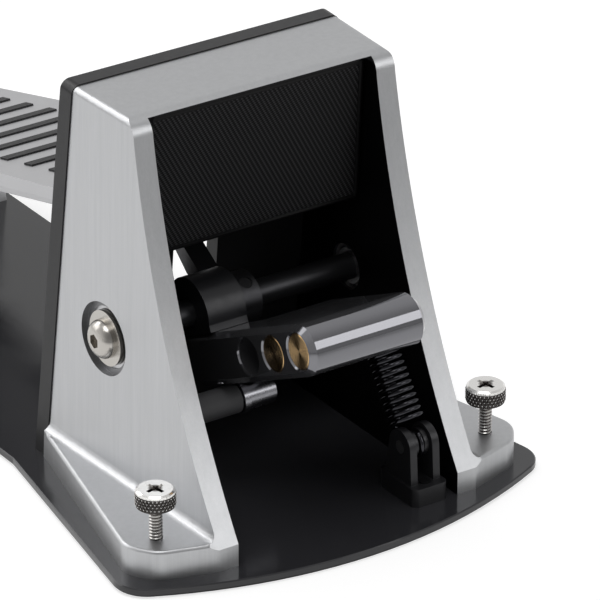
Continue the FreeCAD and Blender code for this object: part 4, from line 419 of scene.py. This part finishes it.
ground_steel = Finish("ground_steel", (0.52, 0.52, 0.53), 0.28, 1.0)
drawn_grain = ground_steel.noise(1.0, 2, ground_steel.mapped(stretch=(90, 1800, 1800)))
ground_steel.shade({"Roughness": drawn_grain * 0.22 + 0.2})
cover(ground_steel, "sensor_plate")


# Axle: a blackened steel bar through both walls in two ball bearings of ground steel. At each end a
# nickel-plated button head bolt and a washer hold the bearing's inner ring.
def turned_finish(name, colour, roughness, centre, pitch=0.22 * mm, relief=0.000012):
    """Bright metal turned on a lathe about an X axis through centre, with fine rings on its faces."""
    finish = Finish(name, colour, roughness, 1.0)
    radius = finish.length(finish.mapped(centre, stretch=(0, 1, 1)))
    rings = (radius * (2 * math.pi / pitch)).sine() * 0.5 + 0.5
    blotch = finish.noise(260, 3)
    finish.shade({"Roughness": blotch * 0.12 + (roughness - 0.04)})
    finish.bump(rings + blotch * 0.4, relief)
    return finish


cover(ground_steel, "bearing_outer_left", "bearing_outer_right", "bearing_inner_left",
      "bearing_inner_right", "bearing_balls")
black_steel = Finish("blackened_steel", (0.035, 0.035, 0.038), 0.36, 0.8)
black_steel.shade({"Roughness": black_steel.noise(450, 3) * 0.18 + 0.28})
black_steel.bump(black_steel.noise(1400, 2), 0.00001)
cover(black_steel, "axle")
bolt_nickel = turned_finish("turned_nickel_axle_bolts", (0.46, 0.44, 0.41), 0.14, AXLE)
cover(bolt_nickel, "axle_washers", "axle_bolts")


# Hammer: a thick plate of polished, dark chromed steel with a round tip and bevelled ends. Two
# brass slugs fill its outer cross holes, each held by a set screw, and the third hole is empty.
REST = math.radians(26.0)
HOLE_SPACING = 21.1 * mm
TIP_REACH = 84.0 * mm
PLATE_OFFSET = 21.3 * mm
PLATE_LEFT = -25.8 * mm
PLATE_RIGHT = 33.0 * mm
SLUG_RADIUS = 7.98 * mm
SLUG_SUNK = 0.5 * mm
SLUG_CHAMFER = 0.6 * mm
SLUG_DISH = 0.25 * mm


def on_hammer(reach, offset):
    """y and z of a point on the resting hammer, reach along it from the axle and offset under it."""
    return (AXLE.y - reach * math.cos(REST) - offset * math.sin(REST),
            AXLE.z + reach * math.sin(REST) - offset * math.cos(REST))


def turned_piece(name, profile, centre):
    """A closed turned piece: its profile is (distance along X, radius), spun round X at centre."""
    shape = bmesh.new()
    verts = [shape.verts.new((x, 0, radius)) for x, radius in profile]
    edges = [shape.edges.new(pair) for pair in zip(verts, verts[1:])]
    bmesh.ops.spin(shape, geom=verts + edges, cent=(0, 0, 0), axis=(1, 0, 0), angle=2 * math.pi,
                   steps=64, use_merge=True)
    bmesh.ops.remove_doubles(shape, verts=shape.verts, dist=1e-7)
    bmesh.ops.recalc_face_normals(shape, faces=shape.faces)
    bmesh.ops.translate(shape, vec=centre, verts=shape.verts)
    piece = as_piece(name, shape)
    shade_smooth(piece, 24)
    return piece


dark_chrome = Finish("polished_dark_chrome", (0.22, 0.22, 0.235), 0.07, 0.85)
handling = dark_chrome.noise(30, 4).step(0.45, 0.8)
hairlines = dark_chrome.noise(1.0, 2, dark_chrome.mapped(turn=(REST, 0, 0), stretch=(25, 2600, 900)))
dark_chrome.shade({"Roughness": handling * 0.05 + hairlines * 0.05 + 0.045})
dark_chrome.bump(hairlines, 0.000004)
paint(dark_chrome, softened("hammer_block", 0.4 * mm))
cover(black_oxide, "hammer_screws")

for index, word in enumerate(("outer", "inner")):
    y, z = on_hammer(TIP_REACH - index * HOLE_SPACING, PLATE_OFFSET)
    left = PLATE_LEFT + SLUG_SUNK
    right = PLATE_RIGHT - SLUG_SUNK
    flat_radius = SLUG_RADIUS - SLUG_CHAMFER
    slug = turned_piece(f"brass_slug_{word}", [
        (left + SLUG_DISH, 0), (left + 0.8 * SLUG_DISH, 0.5 * SLUG_RADIUS),
        (left, flat_radius - SLUG_CHAMFER), (left, flat_radius),
        (left + SLUG_CHAMFER, SLUG_RADIUS), (right - SLUG_CHAMFER, SLUG_RADIUS),
        (right, flat_radius), (right, 0)], (0, y, z))
    brass = turned_finish(f"turned_brass_{word}", (0.56, 0.38, 0.19), 0.22, (0, y, z), 0.3 * mm, 0.00003)
    paint(brass, slug)
    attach(slug, "hammer")
    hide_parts(f"brass_weight_{word}")

brass_screw = Finish("brass_set_screws", (0.80, 0.55, 0.25), 0.3, 1.0)
brass_screw.shade({"Roughness": brass_screw.noise(700, 2) * 0.2 + 0.22})
cover(brass_screw, "weight_set_screws")


# Hub, lever, and the spring's anchor, pins and grooved bushes: steel, blackened and satin, with
# broken edges. The hub clamps the axle, and the hammer plate's four screws go up into it.
black_metal = Finish("satin_black_metal", (0.017, 0.017, 0.019), 0.34, 0.35)
black_metal.shade({"Roughness": black_metal.noise(350, 3) * 0.2 + 0.26})
black_metal.bump(black_metal.noise(1200, 2), 0.00002)
paint(black_metal, softened("hub", 0.4 * mm), softened("spring_anchor", 0.5 * mm))
cover(black_metal, "spring_bush", "anchor_bush")
cover(black_steel, "cam_lever", "spring_pin")
cover(ground_steel, "anchor_pin")
cover(black_oxide, "hub_clamp_screw", "lever_set_screw")


# Spring: hard black wire, wound close, with a hook at each end. One hook lies in the hammer's
# grooved bush and the other in the anchor's, and the coils open as the hammer swings up.
spring_wire = Finish("black_spring_wire", (0.045, 0.045, 0.05), 0.2, 1.0)
spring_wire.shade({"Roughness": spring_wire.noise(500, 2) * 0.14 + 0.12})
spring = copied("tension_spring", "tension_spring_wire")
wire = bmesh.new()
wire.from_mesh(spring.data)
bmesh.ops.remove_doubles(wire, verts=wire.verts, dist=TOUCHING)
wire.to_mesh(spring.data)
wire.free()
spring.data.shade_smooth()
paint(spring_wire, spring)
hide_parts("tension_spring")
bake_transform(spring)


# Rest stop: a steel rod in the left wall with a rubber sleeve and a collar, on which the hammer
# plate comes to rest.
STOP = Vector((0, -134.9, 46.05)) * mm
stop_steel = turned_finish("turned_steel_stop_rod", (0.30, 0.30, 0.32), 0.24, STOP)
cover(stop_steel, "stop_rod")
sleeve_rubber = Finish("grey_rubber_sleeve", (0.05, 0.05, 0.053), 0.6)
sleeve_rubber.shade({"Roughness": sleeve_rubber.noise(700, 2) * 0.2 + 0.5})
sleeve_rubber.bump(sleeve_rubber.noise(1400, 2), 0.00003)
cover(sleeve_rubber, "stop_sleeve")


# Anchor bolts: nickel-plated steel, with a diamond-knurled head, a cross recess and a thread down
# to a point. They screw through the arch's feet into the carpet.
HEAD_RADIUS = 9.0 * mm
HEAD_HEIGHT = 8.0 * mm
HEAD_BEVEL = 1.5 * mm
HEAD_UNDER_BEVEL = 0.6 * mm
KNURLS = 32
KNURL_DEPTH = 0.7 * mm
KNURL_SLOPE = 0.62
KNURL_ROWS = 26
CROSS_LENGTH = 13 * mm
CROSS_WIDTH = 2.3 * mm
CROSS_HEIGHT = 6.4 * mm
CROSS_TURN = 0.2
THREAD = 3.0 * mm
THREAD_ROOT = 2.4 * mm
THREAD_LEAD = 1.5 * mm
THREAD_STEPS = 28
POINT_LENGTH = 3.0 * mm
KNURL_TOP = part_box("anchor_bolt_left")[1].z - HEAD_BEVEL


def ridge(turns):
    """How far a place between two grooves stands up, from 0 in the groove to 1 midway."""
    return 1 - abs(2 * (turns % 1) - 1)


def knurled_blank(bottom, top):
    """Head, shank and point without the cross recess and the thread, round the Z axis."""
    under = top - HEAD_HEIGHT
    band_top = top - HEAD_BEVEL
    band_height = HEAD_HEIGHT - HEAD_BEVEL - HEAD_UNDER_BEVEL
    profile = [
        (0, top), (HEAD_RADIUS - HEAD_BEVEL, top),
        (HEAD_RADIUS - 0.4 * HEAD_BEVEL, top - 0.4 * HEAD_BEVEL),
        *((HEAD_RADIUS, band_top - band_height * row / KNURL_ROWS) for row in range(KNURL_ROWS + 1)),
        (HEAD_RADIUS - HEAD_UNDER_BEVEL, under), (0.48 * HEAD_RADIUS, under), (THREAD_ROOT, under - 0.4 * mm),
        (THREAD_ROOT, bottom + POINT_LENGTH), (0.3 * mm, bottom), (0, bottom)]
    shape = bmesh.new()
    verts = [shape.verts.new((radius, 0, z)) for radius, z in profile]
    edges = [shape.edges.new(pair) for pair in zip(verts, verts[1:])]
    bmesh.ops.spin(shape, geom=verts + edges, cent=(0, 0, 0), axis=(0, 0, 1), angle=2 * math.pi,
                   steps=8 * KNURLS, use_merge=True)
    bmesh.ops.remove_doubles(shape, verts=shape.verts, dist=1e-7)
    bmesh.ops.recalc_face_normals(shape, faces=shape.faces)
    for vert in shape.verts:
        radius = vert.co.xy.length
        if abs(radius - HEAD_RADIUS) < TOUCHING:
            around = math.atan2(vert.co.y, vert.co.x) / (2 * math.pi) * KNURLS
            climb = (vert.co.z - under) / (2 * math.pi * HEAD_RADIUS) * KNURLS * KNURL_SLOPE
            height = min(ridge(around + climb), ridge(around - climb))
            vert.co.xy *= (HEAD_RADIUS - KNURL_DEPTH * (1 - height)) / radius
    return shape


def cut_cross_recess(piece, top):
    """Cut a cross recess with tapered arms into the head's face."""
    cross = bmesh.new()
    for turn in (0, math.pi / 2):
        arm = bmesh.ops.create_cube(cross, size=1)["verts"]
        bmesh.ops.scale(cross, vec=(CROSS_LENGTH, CROSS_WIDTH, CROSS_HEIGHT), verts=arm)
        for vert in arm:
            if vert.co.z < 0:
                vert.co.x *= 0.42
                vert.co.y *= 0.6
        bmesh.ops.rotate(cross, verts=arm, cent=(0, 0, 0), matrix=Matrix.Rotation(turn + CROSS_TURN, 3, "Z"))
    bmesh.ops.translate(cross, vec=(0, 0, top), verts=cross.verts)
    tool = as_piece("cross_recess_tool", cross)
    recess_cut = piece.modifiers.new("cross_recess", "BOOLEAN")
    recess_cut.operation = "DIFFERENCE"
    recess_cut.solver = "EXACT"
    recess_cut.use_self = True
    recess_cut.object = tool
    evaluated = piece.evaluated_get(bpy.context.evaluated_depsgraph_get())
    finished = bpy.data.meshes.new_from_object(evaluated)
    piece.modifiers.clear()
    piece.data = finished
    bpy.data.objects.remove(tool)


def build_thread(first, last):
    """A pointed tooth wound round the Z axis between two heights, as a mesh."""
    turns = int((last - first) / THREAD_LEAD)
    thread = bmesh.new()
    tooth = [thread.verts.new((radius, 0, z)) for radius, z in (
        (THREAD_ROOT - 0.1 * mm, first), (THREAD, first + 0.45 * THREAD_LEAD),
        (THREAD, first + 0.55 * THREAD_LEAD), (THREAD_ROOT - 0.1 * mm, first + 0.98 * THREAD_LEAD))]
    bmesh.ops.spin(thread, geom=[thread.faces.new(tooth)], cent=(0, 0, 0), axis=(0, 0, 1),
                   dvec=(0, 0, THREAD_LEAD / THREAD_STEPS), angle=2 * math.pi * turns,
                   steps=THREAD_STEPS * turns)
    bmesh.ops.recalc_face_normals(thread, faces=thread.faces)
    mesh = bpy.data.meshes.new("thread_tool")
    thread.to_mesh(mesh)
    thread.free()
    return mesh


def build_anchor_bolt(name, node):
    """Knurled bolt in the place of a CAD node."""
    low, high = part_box(node)
    middle = (low + high) / 2
    piece = as_piece(name, knurled_blank(low.z, high.z))
    cut_cross_recess(piece, high.z)
    thread = build_thread(low.z + POINT_LENGTH, high.z - HEAD_HEIGHT - 0.6 * mm)
    whole = bmesh.new()
    whole.from_mesh(piece.data)
    whole.from_mesh(thread)
    bmesh.ops.translate(whole, vec=(middle.x, middle.y, 0), verts=whole.verts)
    whole.to_mesh(piece.data)
    whole.free()
    bpy.data.meshes.remove(thread)
    shade_smooth(piece, 24)
    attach(piece, body_of[node])
    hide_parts(node)
    return piece


nickel = Finish("plated_nickel", (0.72, 0.70, 0.66), 0.22, 1.0)
from_bolt = nickel.add("ShaderNodeCombineXYZ", {}, {"X": nickel.axis("X").size() - BOLT_SIDE,
                                                    "Y": nickel.axis("Y") - BOLT_Y})
bolt_reach = nickel.length(from_bolt)
# Painted shade: on the knurled side of each head the grooves are painted nearly black, (0.05, 0.045, 0.042),
# for the shade in them, while the ridges keep the plated colour.
knurl_ridge = bolt_reach.step(HEAD_RADIUS - 0.5 * KNURL_DEPTH, HEAD_RADIUS - 0.1 * KNURL_DEPTH)
groove_reach = HEAD_RADIUS - KNURL_DEPTH
knurled_side = (bolt_reach.step(groove_reach - 0.1 * mm, groove_reach + 0.1 * mm)
                * (1 - nickel.axis("Z").step(KNURL_TOP - 0.4 * mm, KNURL_TOP)))
knurl_groove_painted_shade = knurled_side * (1 - knurl_ridge)
# Painted shade: the thread's grooves are painted nearly black for the shade in them, and the shank as a whole
# is painted darker than the head.
shank = 1 - bolt_reach.step(THREAD + 0.1 * mm, THREAD + 0.3 * mm)
painted_thread_shade_mask = 1 - bolt_reach.step(THREAD_ROOT, THREAD - 0.1 * mm)
plated_with_painted_thread_shade = nickel.mix(shank * (0.45 + painted_thread_shade_mask * 0.5), (0.84, 0.83, 0.81), (0.07, 0.06, 0.055))
nickel.shade({
    "Base Color": nickel.mix(knurl_groove_painted_shade, plated_with_painted_thread_shade, (0.05, 0.045, 0.042)),
    "Roughness": nickel.noise(400, 3) * 0.14 + 0.12,
})
nickel.bump(nickel.noise(1500, 2), 0.000008)
for side in ("left", "right"):
    paint(nickel, build_anchor_bolt(f"knurled_anchor_bolt_{side}", f"anchor_bolt_{side}"))


# Footboard and heel: cast aluminium, bead-blasted and clear-coated, with rubber grip strips and a
# rubber toe stop. Sintered bronze bushes turn on the hinge pin in the heel block's ears.
blasted = Finish("bead_blasted_aluminium", (0.74, 0.74, 0.75), 0.45, 1.0)
shot = blasted.noise(2200, 2)
patches = blasted.noise(18, 3)
blasted.shade({
    "Base Color": blasted.mix(patches, (0.42, 0.42, 0.43), (0.52, 0.52, 0.53)),
    "Roughness": shot * 0.12 + patches * 0.08 + 0.36,
})
blasted.bump(shot, 0.00004)
paint(blasted, softened("footboard", 0.5 * mm), softened("heel_block", 0.5 * mm),
      softened("heel_plate", 0.5 * mm))

ribbed_rubber = Finish("ribbed_grip_rubber", (0.016, 0.016, 0.017), 0.7)
GRIP_RIB_PITCH = 1.6 * mm
ribs = (ribbed_rubber.axis("X") * (2 * math.pi / GRIP_RIB_PITCH)).sine() * 0.5 + 0.5
ribbed_rubber.shade({"Roughness": ribbed_rubber.noise(800, 2) * 0.2 + 0.6})
ribbed_rubber.bump(ribs, 0.00025)
cover(ribbed_rubber, "grip_strips")
cover(rubber, "toe_stop")

bronze = Finish("sintered_bronze", (0.60, 0.40, 0.20), 0.5, 1.0)
bronze.bump(bronze.noise(2500, 2), 0.00003)
bronze.shade({"Roughness": bronze.noise(300, 2) * 0.2 + 0.38})
cover(bronze, "hinge_bushes")
cover(ground_steel, "hinge_pin")


# Drive: a bent steel bracket, screwed under the footboard's toe, which carries a plastic roller on a
# pin. The roller lifts the lever on the axle.
cover(black_steel, "drive_bracket")
cover(black_oxide, "bracket_screws")
cover(moulded, "drive_roller")
cover(ground_steel, "roller_pin")


# Jack: a moulded box behind the arch's right foot, with a threaded jack and its nickel-plated nut.
# It is screwed on from below.
cover(moulded, "jack_box", "output_jack")
cover(nickel, "jack_nut")


# Floor, lamps and camera: a pale floor and backdrop, soft lamps, and the photographer's place. In the
# metal's mirror image the floor is pale near the pedal and the room in front of it is darker.
floor_shape = bmesh.new()
bmesh.ops.create_grid(floor_shape, x_segments=1, y_segments=1, size=6)
floor = as_piece("floor", floor_shape)


class Studio(Finish):
    """Nodes of the floor or the backdrop, whose light differs for the eye and for mirrors."""

    def __init__(self, tree):
        self.tree = tree
        self.eye = self.add("ShaderNodeLightPath", output="Is Camera Ray").greater(
            self.add("ShaderNodeLightPath", output="Is Transmission Ray"))
        self.seen = self.eye.greater(self.add("ShaderNodeLightPath", output="Is Glossy Ray"))

    def ramp(self, value, low, high, first, last):
        """first at low and below, last at high and above, smooth between them."""
        return self.add("ShaderNodeMapRange", {"interpolation_type": "SMOOTHSTEP"}, {
            "Value": value, "From Min": low, "From Max": high, "To Min": first, "To Max": last})


PALE_CENTRE = (-0.25, 0.15, 0)
PALE_REACH = 0.3
DARK_REACH = 1.2
FLOOR_GLOW = 0.66
AIR_LIGHT = 0.4
pale = Finish("pale_floor", (0.5, 0.5, 0.5), 0.9, **{"Specular IOR Level": 0.1})
sweep = Studio(pale.tree)
off_centre = sweep.add("ShaderNodeVectorMath", {"operation": "DISTANCE"},
                       {0: sweep.add("ShaderNodeTexCoord", output="Object"), 1: PALE_CENTRE}, "Value")
glow = sweep.add("ShaderNodeEmission", {}, {
    "Color": sweep.eye.greater(sweep.ramp(off_centre, PALE_REACH, DARK_REACH, 1.0, 0.1)),
    "Strength": FLOOR_GLOW})
lit = Socket(sweep, pale.shader.outputs[0])
brighter = sweep.add("ShaderNodeAddShader", {}, {0: lit, 1: glow})
either = sweep.add("ShaderNodeMixShader", {}, {0: sweep.seen, 1: lit, 2: brighter})
sweep.feed(pale.tree.nodes["Material Output"].inputs["Surface"], either)
floor.data.materials.append(pale.material)

world = bpy.data.worlds.new("studio")
world.use_nodes = True
bpy.context.scene.world = world
air = Studio(world.node_tree)
direction = air.add("ShaderNodeTexCoord", output="Generated")
backdrop = air.ramp(air.add("ShaderNodeSeparateXYZ", {}, {0: direction}, "Z"), 0.02, 0.5, 1.0, 0.74)
room = air.ramp(air.add("ShaderNodeSeparateXYZ", {}, {0: direction}, "Y"), -0.9, 0.3, 0.35, 1.0)
seen_light = air.eye.greater(backdrop * room)
air.feed(world.node_tree.nodes["Background"].inputs["Color"],
         air.seen * seen_light + (1 - air.seen) * AIR_LIGHT)

LAMPS = [
    ("rear_softbox", (-0.34, 1.26, 1.17), (0, 0, 0.08), 0.7, 4),
    ("left_softbox", (-1.05, 1.35, 1.0), (0, 0, 0.1), 1.3, 8),
    ("top_softbox", (-0.3, -0.4, 1.8), (0, 0, 0.08), 1.0, 9),
    ("front_softbox", (0.8, -1.5, 0.95), (0, -0.1, 0.08), 0.9, 6),
]
for name, place, aim, size, power in LAMPS:
    lamp_data = bpy.data.lights.new(name, "AREA")
    lamp_data.shape = "SQUARE"
    lamp_data.size = size
    lamp_data.energy = power
    lamp = bpy.data.objects.new(name, lamp_data)
    lamp.location = place
    lamp.rotation_euler = (Vector(aim) - Vector(place)).to_track_quat("-Z", "Y").to_euler()
    bpy.context.scene.collection.objects.link(lamp)

camera_data = bpy.data.cameras.new("camera")
camera_data.sensor_width = 36
camera_data.lens = 356.17
camera_data.clip_end = 20
camera = bpy.data.objects.new("camera", camera_data)
camera.location = (-1.25008, -2.03085, 1.23610)
camera.rotation_euler = Vector((0.49569, 0.74219, -0.45104)).to_track_quat("-Z", "Y").to_euler()
bpy.context.scene.collection.objects.link(camera)
bpy.context.scene.camera = camera
bpy.context.scene.view_settings.view_transform = "Standard"
